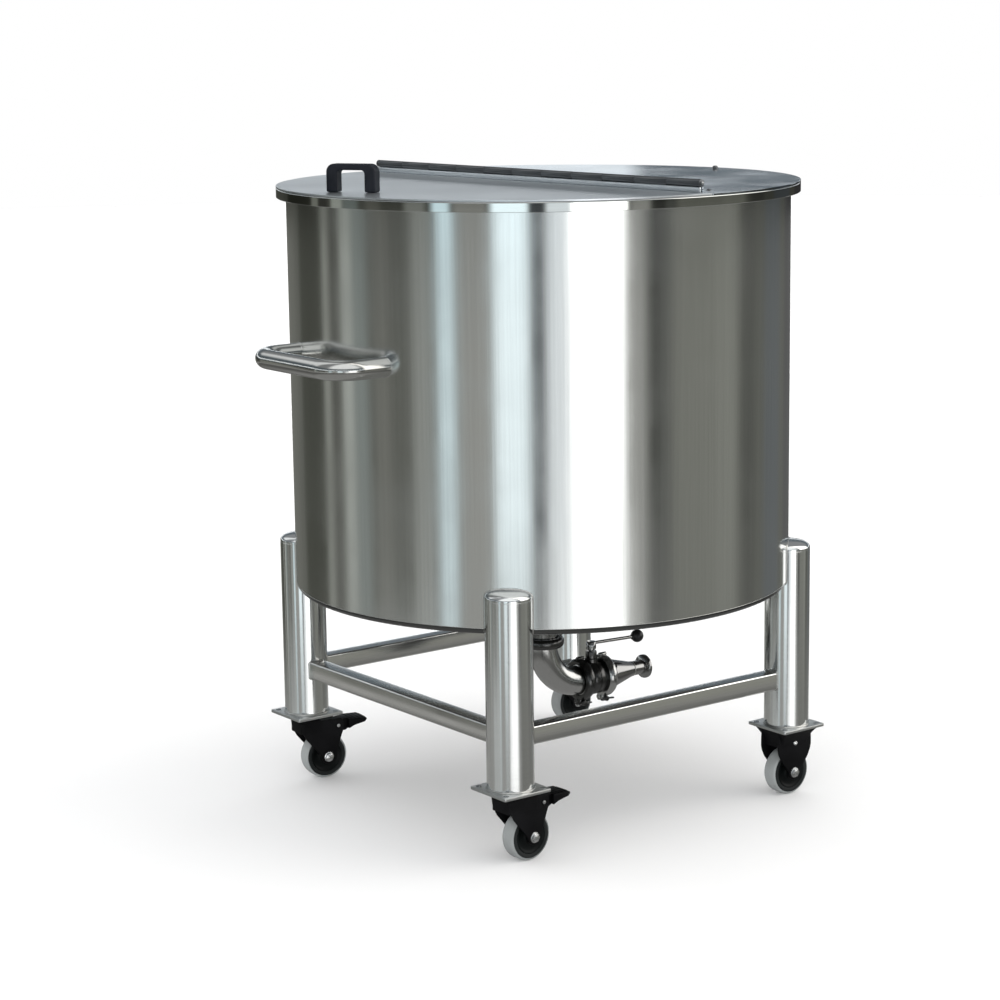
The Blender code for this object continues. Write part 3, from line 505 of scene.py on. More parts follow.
bead = turned(arc((shell_radius - 0.0005, shell_bottom), 0.0007, 0.0, 324.0, 9), smooth_sides)
finished("vessel_bottom_weld", bead, weld_steel, place=on_axis)
seam_turn = math.radians(128.0)
seam_top = 1.028
seam_steps = 60
seam_x = (shell_radius - 0.0008) * math.cos(seam_turn)
seam_y = (shell_radius - 0.0008) * math.sin(seam_turn)
seam_rise = (seam_top - shell_bottom) / seam_steps
seam_path = [(seam_x, seam_y, shell_bottom + seam_rise * i) for i in range(seam_steps + 1)]
seam = along(seam_path, 0.0013, 3, ripple=0.12, beats=2.1)
finished("vessel_seam_weld", seam, weld_steel, place=on_axis)

# The rim is an angle ring round the top of the shell, with an upright band and a
# corner rolled over the shell.
RIM_STEEL = (0.58, 0.59, 0.57)
rim_steel = steel(
    "polished_rim_steel", RIM_STEEL, 0.04, (18.0, 18.0, 300.0), 0.000002, contrast=0.06, spread=0.04)
rim_radius = 0.436
rim_inside = shell_radius + 0.0003
rim_sheet = 0.003
rim_low = 1.029
rim_corner = 0.0016
rim_outline = [(rim_inside, rim_top)]
rim_outline += arc((rim_radius - rim_corner, rim_top - rim_corner), rim_corner, 90.0, 0.0, 5)
rim_outline += [(rim_radius, rim_top - rim_corner - 0.0005), (rim_radius, rim_low + 0.0011),
                (rim_radius, rim_low + 0.0006), (rim_radius - 0.0006, rim_low),
                (rim_radius - rim_sheet, rim_low), (rim_radius - rim_sheet, rim_top - rim_sheet),
                (rim_inside, rim_top - rim_sheet)]
finished("rim_angle_ring", turned(rim_outline, smooth_sides), rim_steel, "rim_ring", place=on_axis)
rim_bead = turned(arc((shell_radius + 0.0006, rim_top - 0.0036), 0.0014, 0.0, 324.0, 9), smooth_sides)
finished("rim_weld", rim_bead, weld_steel, place=on_axis)

# The lid is two flat halves of stainless sheet, a polished fixed one and a satin flap.
# Their edges are folded up into two lips that carry a long hinge of eleven knuckles.
FLAP_STEEL = (0.66, 0.69, 0.71)
# The fixed half's darker, bluer tone is painted shade: it is a shaded copy of the lid steel that stands for
# the two halves catching the light differently.
SHADED_FIXED_STEEL = (0.42, 0.46, 0.50)
HINGE_STEEL = (0.12, 0.125, 0.13)
SCREW_STEEL = (0.45, 0.46, 0.46)
flap_steel = steel("satin_flap_steel", FLAP_STEEL, 0.30, (6.0, 420.0, 420.0), 0.00002, spread=0.05)
shaded_fixed_steel = steel(
    "polished_fixed_lid_painted_shade", SHADED_FIXED_STEEL, 0.06, (6.0, 420.0, 420.0), 0.000004, spread=0.04)
hinge_steel = steel("hinge_steel", HINGE_STEEL, 0.30, (8.0, 500.0, 500.0), 0.00002)
screw_steel = steel("screw_steel", SCREW_STEEL, 0.25, (700.0, 700.0, 700.0), 0.00002)

lid_top = 1.048
lid_sheet = 0.003
lid_seam = 0.001
line_offset = 0.020
hinge_place = on_axis @ swung(2.9, "Z") @ shifted(0.0, -line_offset, 0.0)


def sheet(outline, thickness):
    """A flat plate cut from an outline of (x, y), with its middle at z = 0."""
    bm = bmesh.new()
    face = bm.faces.new([bm.verts.new((x, y, -thickness / 2)) for x, y in outline])
    grown = bmesh.ops.extrude_face_region(bm, geom=[face])
    raised = [v for v in grown["geom"] if isinstance(v, bmesh.types.BMVert)]
    bmesh.ops.translate(bm, vec=(0.0, 0.0, thickness), verts=raised)
    bmesh.ops.recalc_face_normals(bm, faces=bm.faces)
    return bm


def block(low, high):
    """A box between two corners, with its faces ready to be rounded."""
    bm = bmesh.new()
    bmesh.ops.create_cube(bm, size=1.0)
    bmesh.ops.scale(bm, vec=[high[i] - low[i] for i in range(3)], verts=bm.verts)
    bmesh.ops.translate(bm, vec=[(high[i] + low[i]) / 2 for i in range(3)], verts=bm.verts)
    return bm


def rod(radius, length, sides=24, edge=0.0005, axis="Z"):
    """A round bar with its middle at the origin, lying along an axis."""
    bm = bmesh.new()
    bmesh.ops.create_cone(bm, cap_ends=True, segments=sides, radius1=radius, radius2=radius, depth=length)
    rounded(bm, edge, 2, 60.0)
    if axis == "X":
        moved(bm, swung(90.0, "Y"))
    if axis == "Y":
        moved(bm, swung(90.0, "X"))
    return bm


def countersunk(radius, depth=0.0006):
    """A flush screw head with a hexagon socket, its top at z = 0."""
    head = turned([(radius, 0.0), (radius, depth), (0.0, depth)], 24, closed=False)
    socket = bmesh.new()
    bmesh.ops.create_circle(socket, cap_ends=True, segments=6, radius=radius * 0.45)
    bmesh.ops.inset_region(socket, faces=socket.faces, thickness=radius * 0.06, depth=-depth * 0.6)
    return joined(head, moved(socket, shifted(0.0, 0.0, depth + 0.00005)))


for side, name, material, body, node in (
        (1, "lid_fixed_plate", shaded_fixed_steel, "frame_and_tank", "lid_fixed_half"),
        (-1, "lid_flap_plate", flap_steel, "lid_flap", "lid_flap")):
    edge = side * lid_seam
    begin = math.degrees(math.asin((edge - line_offset) / rim_radius))
    if side > 0:
        outline = arc((0.0, line_offset), rim_radius, begin, 180.0 - begin, 110)
    else:
        outline = arc((0.0, line_offset), rim_radius, 180.0 - begin, 360.0 + begin, 90)
    plate = rounded(sheet(outline, lid_sheet), 0.0004, 2, 50.0)
    finished(
        name, plate, material, node, body=body, slot="satin_steel",
        place=hinge_place @ shifted(0.0, 0.0, lid_top - lid_sheet / 2), smooth=15.0)

hinge_length = 0.822
hinge_height = lid_top + 0.0145
barrel = 0.0060
knuckle_count = 11
knuckle_gap = 0.0004
knuckle_pitch = hinge_length / knuckle_count
lip_top = hinge_height - barrel - 0.0002
for side, name, material, body, node in (
        (1, "hinge_fixed", shaded_fixed_steel, "frame_and_tank", "hinge_fixed_leaf"),
        (-1, "hinge_flap", flap_steel, "lid_flap", "hinge_flap_leaf")):
    near, far = sorted((side * 0.0012, side * 0.0042))
    lip = block((-hinge_length / 2, near, lid_top + 0.0003), (hinge_length / 2, far, lip_top))
    finished(
        name + "_lip", rounded(lip, 0.0008), material, node, body=body, slot="satin_steel", place=hinge_place)
    pieces = []
    for i in range(0 if side > 0 else 1, knuckle_count, 2):
        middle = (i + 0.5) * knuckle_pitch - hinge_length / 2
        long = knuckle_pitch - knuckle_gap
        pieces.append(moved(rod(barrel, long, 28, 0.0003, "X"), shifted(middle, 0.0, hinge_height)))
        pieces.append(block(
            (middle - long / 2 + 0.001, near + 0.0004, lip_top - 0.0012),
            (middle + long / 2 - 0.001, far - 0.0004, hinge_height - barrel / 2)))
    finished(
        name + "_knuckles", joined(*pieces), hinge_steel, body=body, slot="satin_steel", place=hinge_place)

pin = moved(rod(0.0025, hinge_length + 0.006, 16, 0.0006, "X"), shifted(0.0, 0.0, hinge_height))
finished("hinge_pin_rod", pin, screw_steel, "hinge_pin", place=hinge_place)


def dome_screw(radius, rise):
    """A low round head with a hexagon socket in its top."""
    crown = [(radius, 0.0), (radius, rise * 0.35), (radius * 0.86, rise * 0.75), (radius * 0.6, rise),
             (radius * 0.42, rise), (radius * 0.38, rise * 0.5), (0.0, rise * 0.45)]
    return turned(crown, 24, closed=False)


lid_screws = []
for radius, rise, x, y in (
        (0.0036, 0.0020, 0.379, 0.044),
        (0.0050, 0.0048, -0.020, 0.412),
        (0.0036, 0.0020, -0.379, 0.044)):
    lid_screws.append(moved(dome_screw(radius, rise), shifted(x, y + tank_y, lid_top)))
finished("lid_fixing_screws", joined(*lid_screws), hinge_steel)

# The lid handle is a moulded bow of dark plastic on two feet, turned by 30 degrees
# and set near the front of the flap.
HANDLE_PLASTIC = (0.005, 0.0065, 0.010)
handle_plastic = moulded(
    "dark_handle_plastic", HANDLE_PLASTIC, (0.012, 0.014, 0.019), 0.34, 1400.0, 0.00003, shine=0.16)
handle_reach = 0.370
bow_half = 0.043
bow_foot = 0.019
bow_top = 0.045
bow_bar = 0.010
bow_corner = 0.013
bow_inner = 0.006
bow = [(bow_half, 0.0)]
bow += arc((bow_half - bow_corner, bow_top - bow_corner), bow_corner, 0.0, 90.0, 10)
bow += arc((bow_corner - bow_half, bow_top - bow_corner), bow_corner, 90.0, 180.0, 10)
bow += [(-bow_half, 0.0), (bow_foot - bow_half, 0.0)]
bow += arc((bow_foot - bow_half + bow_inner, bow_top - bow_bar - bow_inner), bow_inner, 180.0, 90.0, 6)
bow += arc((bow_half - bow_foot - bow_inner, bow_top - bow_bar - bow_inner), bow_inner, 90.0, 0.0, 6)
bow += [(bow_half - bow_foot, 0.0)]
handle_place = on_axis @ shifted(0.0, -handle_reach, lid_top + 0.0003) @ swung(30.0, "Z")
bow_mesh = rounded(sheet(bow, 0.021), 0.0032, 4, 50.0)
finished(
    "lid_handle_bow", bow_mesh, handle_plastic, "lid_handle", body="lid_flap", slot="black_plastic",
    place=handle_place @ swung(90.0, "X"), smooth=50.0)

# The push handle is a 32 mm tube that leaves the shell, bends across and comes
# back, with a weld bead at each root.
TUBE_STEEL = (0.52, 0.52, 0.50)
tube_steel = steel("polished_tube_steel", TUBE_STEEL, 0.13, (500.0, 14.0, 14.0), 0.00001, contrast=0.06)
push_radius = 0.016
push_height = 0.784
push_half = 0.121
push_reach = 0.488
push_bend = 0.045
push_root = 0.404
path = [(push_half, -push_root)]
path += arc((push_half - push_bend, push_bend - push_reach), push_bend, 0.0, -90.0, 16)
path += arc((push_bend - push_half, push_bend - push_reach), push_bend, -90.0, -180.0, 16)
path += [(-push_half, -push_root)]
tube = along([(x, y, push_height) for x, y in path], push_radius, 12)
for vert in tube.verts:
    if vert.co.y > -push_root - 0.006:
        vert.co.y = -math.sqrt(max((shell_radius - 0.0015) ** 2 - vert.co.x ** 2, 0.0))
finished("push_handle_tube", tube, tube_steel, "push_handle", place=on_axis)
for side in (-1, 1):
    ring = []
    for x, z in arc((side * push_half, push_height), push_radius, 0.0, 354.0, 59):
        ring.append((x, -math.sqrt(shell_radius ** 2 - x ** 2), z))
    root = along(ring, 0.0009, 3, ring=True, ripple=0.13, beats=1.9)
    finished(f"push_handle_weld_{side}", root, tube_steel, place=on_axis)

# Four 76 mm tubes stand at the corners, each notched round the vessel, with a low
# domed cap, and each on a square foot plate with flush screws.
LEG_STEEL = (0.68, 0.69, 0.68)
FOOT_STEEL = (0.62, 0.63, 0.62)
leg_steel = steel("polished_leg_steel", LEG_STEEL, 0.12, (16.0, 16.0, 600.0), 0.00001, contrast=0.06)
plate_steel = steel("foot_plate_steel", FOOT_STEEL, 0.34, (350.0, 350.0, 350.0), 0.00002)
leg_offset = 0.296
leg_radius = 0.038
leg_seam = 0.429
leg_dome = 0.015
foot_half = 0.046
foot_bottom = 0.119
foot_sheet = 0.005
foot_screw = 0.036
corners = {
    "handle_left": (-leg_offset, -leg_offset), "handle_right": (leg_offset, -leg_offset),
    "outlet_left": (-leg_offset, leg_offset), "outlet_right": (leg_offset, leg_offset),
}


def vessel_radius(z):
    """The outer radius of the vessel at a height, or nothing below it."""
    if z >= shell_bottom:
        return shell_radius
    if z <= bottom_line:
        return 0.0
    return shell_radius - knuckle + math.sqrt(knuckle ** 2 - (shell_bottom - z) ** 2)


def leg_radius_at(z):
    if z <= leg_seam:
        return leg_radius
    return leg_radius * max(1.0 - ((z - leg_seam) / leg_dome) ** 2.6, 0.0) ** (1 / 2.6)


def leg_tube():
    """The outside of a leg from its foot to the top of its cap."""
    steps = [foot_bottom + foot_sheet + 0.0003, bottom_line - 0.0020, bottom_line - 0.0002]
    steps += [shell_bottom - knuckle * math.cos(math.radians(9.0 * i)) for i in range(11)]
    outline = [(leg_radius, z) for z in steps]
    outline += [(leg_radius, leg_seam - 0.0005), (leg_radius - 0.0004, leg_seam - 0.0002),
                (leg_radius - 0.0004, leg_seam + 0.0002)]
    for i in range(3, 24):
        z = leg_seam + leg_dome * math.sin(math.radians(90.0 * i / 24))
        outline.append((leg_radius_at(z), z))
    outline.append((0.0, leg_seam + leg_dome))
    return turned(outline, 64, closed=False)


def kept_outside(bm):
    """Moves what would stand inside the vessel out into its wall."""
    for vert in bm.verts:
        reach = math.hypot(vert.co.x, vert.co.y)
        least = vessel_radius(vert.co.z) - 0.0015
        if reach < least:
            vert.co.x *= least / reach
            vert.co.y *= least / reach
    return bm


def leg_weld(place):
    """The bead that follows a leg's cap and sides where they meet the vessel."""
    apart = math.hypot(*place)
    heading = math.atan2(place[1], place[0])
    lowest = bottom_line + 0.0040
    heights = [lowest + (leg_seam - lowest) * i / 24 for i in range(24)]
    heights += [leg_seam + (leg_dome - 0.0002) * math.sin(math.radians(90.0 * i / 20)) for i in range(21)]
    sides = []
    for z in heights:
        wide = vessel_radius(z)
        cosine = (wide ** 2 + apart ** 2 - leg_radius_at(z) ** 2) / (2 * wide * apart)
        sides.append((wide, math.acos(min(max(cosine, -1.0), 1.0)), z))
    path = [(r * math.cos(heading + t), r * math.sin(heading + t), z) for r, t, z in sides]
    path += [(r * math.cos(heading - t), r * math.sin(heading - t), z) for r, t, z in reversed(sides)]
    return along(path, 0.0016, 3, ripple=0.12, beats=2.3)


def eased(bm, axis, offset, segments):
    """Rounds the edges of a block that run along one axis."""
    edges = [e for e in bm.edges if abs(e.verts[0].co[axis] - e.verts[1].co[axis]) > 0.001]
    bmesh.ops.bevel(
        bm, geom=edges, offset=offset, segments=segments, profile=0.5, affect="EDGES", material=-1)
    return bm


def square_plate(half, low, high, corner, segments):
    plate = block((-half, -half, low), (half, half, high))
    return rounded(eased(plate, 2, corner, segments), 0.0006, 2, 50.0)


foot_top = foot_bottom + foot_sheet
for name, (x, y) in corners.items():
    leg = kept_outside(moved(leg_tube(), shifted(x, y, 0.0)))
    finished("leg_tube_" + name, leg, leg_steel, "leg_" + name, place=on_axis)
    finished("leg_weld_" + name, leg_weld((x, y)), weld_steel, place=on_axis)
    at_leg = on_axis @ shifted(x, y, 0.0)
    foot = square_plate(foot_half, foot_bottom, foot_top, 0.003, 4)
    finished("foot_" + name, foot, plate_steel, "foot_plate_" + name, place=at_leg)
    heads = []
    for sx in (-1, 1):
        for sy in (-1, 1):
            place = shifted(sx * foot_screw, sy * foot_screw, foot_top)
            heads.append(moved(countersunk(0.0045), place))
    finished("foot_screws_" + name, joined(*heads), screw_steel, place=at_leg)
    ring = [(px, py, foot_top + 0.0006) for px, py in arc((0.0, 0.0), leg_radius, 0.0, 356.0, 89)]
    root = along(ring, 0.0018, 3, ring=True, ripple=0.13, beats=2.1)
    finished("foot_weld_" + name, root, weld_steel, place=at_leg)

# Three 30 mm square tubes join the legs, with rounded corners and a weld bead round
# each end. The outlet side is left open.
RAIL_STEEL = (0.82, 0.82, 0.80)
rail_steel = steel("satin_rail_steel", RAIL_STEEL, 0.13, (14.0, 14.0, 420.0), 0.00002)
rail_half = 0.015
rail_corner = 0.0028
rail_middle = 0.205
rail_reach = leg_offset - 0.028
rails = {
    "handle": ((0.0, -leg_offset), 0.0),
    "left": ((-leg_offset, 0.0), 90.0),
    "right": ((leg_offset, 0.0), 90.0),
}


def stepped(points, longest):
    """A closed path with its long stretches cut into short ones."""
    path = []
    for first, second in zip(points, points[1:] + points[:1]):
        count = max(1, math.ceil(math.dist(first, second) / longest))
        path += [tuple(a + (b - a) * i / count for a, b in zip(first, second)) for i in range(count)]
    return path


rail_flat = rail_half - rail_corner
rail_outline = arc((rail_flat, rail_flat), rail_corner, 0.0, 90.0, 3)
rail_outline += arc((-rail_flat, rail_flat), rail_corner, 90.0, 180.0, 3)
rail_outline += arc((-rail_flat, -rail_flat), rail_corner, 180.0, 270.0, 3)
rail_outline += arc((rail_flat, -rail_flat), rail_corner, 270.0, 360.0, 3)
for name, ((x, y), degrees) in rails.items():
    at_rail = on_axis @ shifted(x, y, rail_middle) @ swung(degrees, "Z")
    tube = eased(
        block((-rail_reach, -rail_half, -rail_half), (rail_reach, rail_half, rail_half)), 0, rail_corner, 5)
    finished("rail_tube_" + name, tube, rail_steel, "rail_" + name, place=at_rail)
    for side in (-1, 1):
        ring = []
        for y, z in stepped(rail_outline, 0.002):
            ring.append((side * (leg_offset - math.sqrt(leg_radius ** 2 - y ** 2)), y, z))
        root = along(ring, 0.0016, 3, ring=True, ripple=0.13, beats=2.0)
        finished(f"rail_weld_{name}_{side}", root, weld_steel, place=at_rail)

# The castors have black pressed forks, grey treads between dark side walls, dark
# hub covers and bright axle bolts. The two by the push handle swivel and have brake pedals.
CASTOR_BLACK = (0.0025, 0.0025, 0.003)
HUB_BLACK = (0.0025, 0.0035, 0.0035)
TREAD_GREY = (0.26, 0.275, 0.275)
WALL_GREY = (0.010, 0.012, 0.012)
BOLT_STEEL = (0.66, 0.67, 0.67)
castor_paint = moulded(
    "black_castor_paint", CASTOR_BLACK, (0.006, 0.006, 0.007), 0.42, 900.0, 0.00003, shine=0.09)
hub_plastic = moulded(
    "black_hub_plastic", HUB_BLACK, (0.007, 0.009, 0.009), 0.36, 1300.0, 0.00002, shine=0.1)
tread_rubber = moulded("grey_tread_rubber", TREAD_GREY, (0.19, 0.20, 0.20), 0.55, 600.0, 0.00005, shine=0.3)
wall_rubber = moulded(
    "dark_side_wall_rubber", WALL_GREY, (0.020, 0.022, 0.022), 0.5, 700.0, 0.00004, shine=0.15)
bolt_steel = steel("axle_bolt_steel", BOLT_STEEL, 0.24, (800.0, 800.0, 800.0), 0.00002)
wheel_radius = 0.040
cheek_middle = 0.0205
cheek_sheet = 0.003
rigid_half = 0.038
swivel_half = 0.033
swivel_trail = 0.030
swivel_back = 0.022
swivel_front = 0.0605
fork_top = 0.108
plate_top = foot_bottom - 0.0003
plate_low = plate_top - 0.004
pedal_pivot = (0.050, 0.094)
pedal_reach = 0.108
to_x_axis = swung(90.0, "Y")
on_edge = Matrix(((0.0, 0.0, 1.0, 0.0), (1.0, 0.0, 0.0, 0.0), (0.0, 1.0, 0.0, 0.0), (0.0, 0.0, 0.0, 1.0)))


def with_mirror(half):
    """An outline of (radius, height) and the same again below z = 0."""
    return half + [(radius, -z) for radius, z in reversed(half)]


def hub_mesh():
    """Both dished covers, the boss and the bore."""
    return turned(with_mirror([
        (0.0065, 0.0178), (0.0106, 0.0178), (0.0112, 0.0172), (0.0114, 0.0132), (0.0128, 0.0120),
        (0.0160, 0.0113), (0.0225, 0.0113), (0.0250, 0.0121), (0.0268, 0.0133), (0.0283, 0.0134),
        (0.0290, 0.0126)]), 56)


def side_walls():
    wall = [(0.0292, 0.0100), (0.0292, 0.0130), (0.0305, 0.0139), (0.0335, 0.0140), (0.0352, 0.0138),
            (0.0358, 0.0133), (0.0358, 0.0100)]
    mirrored = [(radius, -z) for radius, z in wall]
    return joined(turned(wall, 64), turned(mirrored, 64))


def tread_mesh():
    return turned(with_mirror([
        (0.0360, 0.0106), (0.0360, 0.0128), (0.0367, 0.0133), (0.0380, 0.0126), (0.0391, 0.0110),
        (0.0397, 0.0088), (0.0400, 0.0055)]), 64)


def hood(low, high, flare, hollow=0.012):
    """A pressed box, rounded at its corners, that flares out to the top and is hollow below."""
    bm = eased(block(low, high), 2, 0.005, 5)
    tall = high[2] - low[2]
    for i in range(1, 7):
        everything = list(bm.verts) + list(bm.edges) + list(bm.faces)
        bmesh.ops.bisect_plane(
            bm, geom=everything, plane_co=(0.0, 0.0, low[2] + tall * i / 7), plane_no=(0.0, 0.0, 1.0))
    for vert in bm.verts:
        grow = flare * ((vert.co.z - low[2]) / tall) ** 1.8
        vert.co.x += math.copysign(grow, vert.co.x)
        vert.co.y += math.copysign(grow / 2, vert.co.y)
    under = [f for f in bm.faces if f.normal.z < -0.9]
    bmesh.ops.inset_region(bm, faces=under, thickness=0.002, depth=-hollow)
    return bm


def cheeks(outline):
    """Both sides of a fork, from an outline in the travel direction and height."""
    pair = []
    for side in (-1, 1):
        cheek = rounded(sheet(outline, cheek_sheet), 0.0007, 2, 50.0)
        pair.append(moved(cheek, shifted(side * cheek_middle, 0.0, 0.0) @ on_edge))
    return pair


def axle_bolts(trail):
    """A hexagon head with its washer on one cheek, and a nut with its thread on the other."""
    parts = []
    for side in (-1, 1):
        outside = cheek_middle + cheek_sheet / 2
        washer = rod(0.0088, 0.0008, 32, 0.0002, "X")
        parts.append(moved(washer, shifted(side * (outside + 0.0004), trail, wheel_radius)))
        head = rod(0.0076, 0.0036, 6, 0.0005, "X")
        parts.append(moved(head, shifted(side * (outside + 0.0024), trail, wheel_radius)))
        tip = rod(0.0042, 0.0012, 24, 0.0004, "X")
        parts.append(moved(tip, shifted(side * (outside + 0.0045), trail, wheel_radius)))
    spindle = rod(0.0058, 2 * outside, 24, 0.0003, "X")
    parts.append(moved(spindle, shifted(0.0, trail, wheel_radius)))
    return joined(*parts)


def add_wheel(name, trail, place):
    at_wheel = place @ shifted(0.0, trail, wheel_radius) @ to_x_axis
    for part, bm, material, slot, nodes in (
            ("hub_", hub_mesh(), hub_plastic, "black_plastic", ["wheel_hub_" + name]),
            ("tread_", tread_mesh(), tread_rubber, "grey_tyre", ["wheel_tyre_" + name]),
            ("side_walls_", side_walls(), wall_rubber, "grey_tyre", [])):
        finished(part + name, bm, material, *nodes, body="wheel_" + name, slot=slot, place=at_wheel)


for name in ("outlet_left", "outlet_right"):
    x, y = corners[name]
    at_castor = on_axis @ shifted(x, y, 0.0)
    half = [(0.0370, plate_low), (0.0380, 0.0980), (0.0380, 0.0850), (0.0360, 0.0765), (0.0305, 0.0650),
            (0.0220, 0.0540), (0.0150, 0.0460)]
    outline = half + arc((0.0, wheel_radius), 0.013, 12.0, -192.0, 18)
    outline += [(-ahead, z) for ahead, z in reversed(half)]
    fork = joined(
        square_plate(rigid_half, plate_low, plate_top, 0.006, 5),
        hood((-0.0222, -0.0302, 0.0868), (0.0222, 0.0302, plate_low + 0.0002), 0.0148), *cheeks(outline))
    finished(
        "fork_" + name, fork, castor_paint, "rigid_fork_" + name, slot="castor_black", place=at_castor)
    finished("axle_" + name, axle_bolts(0.0), bolt_steel, place=at_castor)
    rivets = []
    for side in (-1, 1):
        rivet = moved(dome_screw(0.0044, 0.0022), swung(side * 68.0, "Y"))
        rivets.append(moved(rivet, shifted(side * 0.0226, 0.0, 0.0925)))
    finished("rivets_" + name, joined(*rivets), bolt_steel, place=at_castor)
    add_wheel(name, 0.0, at_castor)


def pedal_mesh():
    """A wedge-shaped brake pedal on its pin, with ribs across a wide tread."""
    reach = pedal_reach - pedal_pivot[0]
    arm = arc((0.0, 0.0), 0.0065, 90.0, 290.0, 14)
    arm += [(0.016, -0.0135), (0.032, -0.0055), (reach - 0.004, -0.0015), (reach, 0.0030),
            (reach - 0.001, 0.0065), (0.016, 0.0085)]
    tread = [(0.022, -0.0095), (0.032, -0.0050), (reach - 0.0045, -0.0010), (reach - 0.0006, 0.0032),
             (reach - 0.0016, 0.0062), (0.022, 0.0080)]
    parts = [
        moved(rounded(sheet(arm, 0.027), 0.0010, 3, 40.0), on_edge),
        moved(rounded(sheet(tread, 0.042), 0.0014, 3, 40.0), on_edge)]
    for i in range(4):
        rib = rounded(block((-0.018, -0.0010, 0.0), (0.018, 0.0010, 0.0012)), 0.0004)
        parts.append(moved(rib, shifted(0.0, 0.028 + 0.0078 * i, 0.0072 - 0.0004 * i)))
    return joined(*parts)


for name, degrees in (("handle_left", -7.0), ("handle_right", 3.0)):
    x, y = corners[name]
    at_corner = on_axis @ shifted(x, y, 0.0)
    at_fork = at_corner @ swung(degrees, "Z")
    swivel = "swivel_" + name
    race = turned([
        (0.0, plate_low + 0.001), (0.0262, plate_low + 0.001), (0.0262, plate_low - 0.0012),
        (0.0250, plate_low - 0.0034), (0.0, plate_low - 0.0034)], 48, closed=False)
    head = joined(square_plate(swivel_half, plate_low, plate_top, 0.006, 5), race)
    finished(
        "swivel_head_" + name, head, castor_paint, "castor_plate_" + name, slot="castor_black",
        place=at_corner)
    outline = [(swivel_front - 0.0045, 0.1070), (-swivel_back, 0.1070), (-swivel_back + 0.0015, 0.0960),
               (-swivel_back + 0.0048, 0.0860), (-swivel_back + 0.0105, 0.0755), (-0.0020, 0.0640),
               (0.0075, 0.0530), (0.0150, 0.0440)]
    outline += arc((swivel_trail, wheel_radius), 0.013, 200.0, 352.0, 14)
    outline += [(0.0468, 0.0520), (0.0515, 0.0630), (0.0555, 0.0745), (0.0592, 0.0840), (0.0605, 0.0900),
                (0.0605, 0.0980), (0.0592, 0.1035)]
    disc = turned([
        (0.0, 0.1060), (0.0236, 0.1060), (0.0236, 0.1096), (0.0226, 0.1105), (0.0, 0.1105)], 48, closed=False)
    fork = joined(
        hood((-0.0222, -swivel_back, 0.0868), (0.0222, 0.0400, fork_top), 0.0), disc, *cheeks(outline))
    finished(
        "fork_" + name, fork, castor_paint, "swivel_fork_" + name, body=swivel, slot="castor_black",
        place=at_fork)
    pin = moved(rod(0.0029, 0.0475, 20, 0.0006, "X"), shifted(0.0, *pedal_pivot))
    bolts = joined(axle_bolts(swivel_trail), pin)
    finished("axle_" + name, bolts, bolt_steel, body=swivel, place=at_fork)
    add_wheel(name, swivel_trail, at_fork)
    finished(
        "pedal_" + name, pedal_mesh(), castor_paint, "brake_pedal_" + name, body="pedal_" + name,
        slot="castor_black", place=at_fork @ shifted(0.0, *pedal_pivot))

# The outlet is 51 mm pipework with clamped collars: a neck, a bend, a lever valve, a
# cone and a small end collar. Its clamps are drawn together by a bolt and a wing nut.
# Along the pipe, places are measured from the tank's own axis.
# The pipe, lever and clamp tones are darkened as painted shade from the tank above them. The bend and the
# outlet clamp carry a lighter copy of the same steel as painted light.
SHADED_PIPE_STEEL = (0.30, 0.30, 0.295)
SHADED_CLAMP_STEEL = (0.10, 0.10, 0.098)
LIT_FITTING_STEEL = (0.46, 0.46, 0.45)
KNOB_BLACK = (0.005, 0.005, 0.006)
shaded_pipe_steel = steel("polished_pipe_in_painted_shade", SHADED_PIPE_STEEL, 0.12, (90.0, 90.0, 90.0), 0.00002)
shaded_clamp_steel = steel("cast_clamp_in_painted_shade", SHADED_CLAMP_STEEL, 0.22, (260.0, 260.0, 260.0), 0.00006)
lit_fitting_steel = steel("bend_fitting_painted_light", LIT_FITTING_STEEL, 0.17, (260.0, 260.0, 260.0), 0.00006)
knob_plastic = moulded(
    "black_knob_plastic", KNOB_BLACK, (0.012, 0.012, 0.013), 0.30, 1200.0, 0.00002)
pipe_radius = 0.0255
pipe_bore = 0.0235
pipe_height = 0.176
collar_radius = 0.032
collar_width = 0.0064
bend_radius = 0.076
neck_joint = 0.258
inlet_joint = 0.082
outlet_joint = 0.132
joint_gap = 0.00015
reducer_end = 0.230
cone_end = 0.198
end_bore = 0.0107
end_pipe = 0.0127
to_y_axis = swung(-90.0, "X")
lying = on_axis @ shifted(0.0, 0.0, pipe_height) @ to_y_axis


def collar_end(joint, direction):
    """The profile of a collar with softened corners, from the pipe wall to the bore."""
    back = joint + direction * collar_width
    return [(pipe_radius, back), (collar_radius - 0.0012, joint + direction * 0.0052),
            (collar_radius, joint + direction * 0.0040), (collar_radius, joint + direction * 0.0005),
            (collar_radius - 0.0005, joint), (pipe_bore, joint)]


neck = [(pipe_bore, 0.3575), (pipe_radius, 0.3575)] + collar_end(neck_joint + joint_gap, 1)
finished("outlet_neck_pipe", turned(neck, 64), shaded_pipe_steel, "outlet_neck", place=on_axis)
neck_bead = turned(arc((pipe_radius, bottom_centre), 0.0018, 0.0, 324.0, 9), 64)
finished("outlet_neck_weld", neck_bead, weld_steel, place=on_axis)

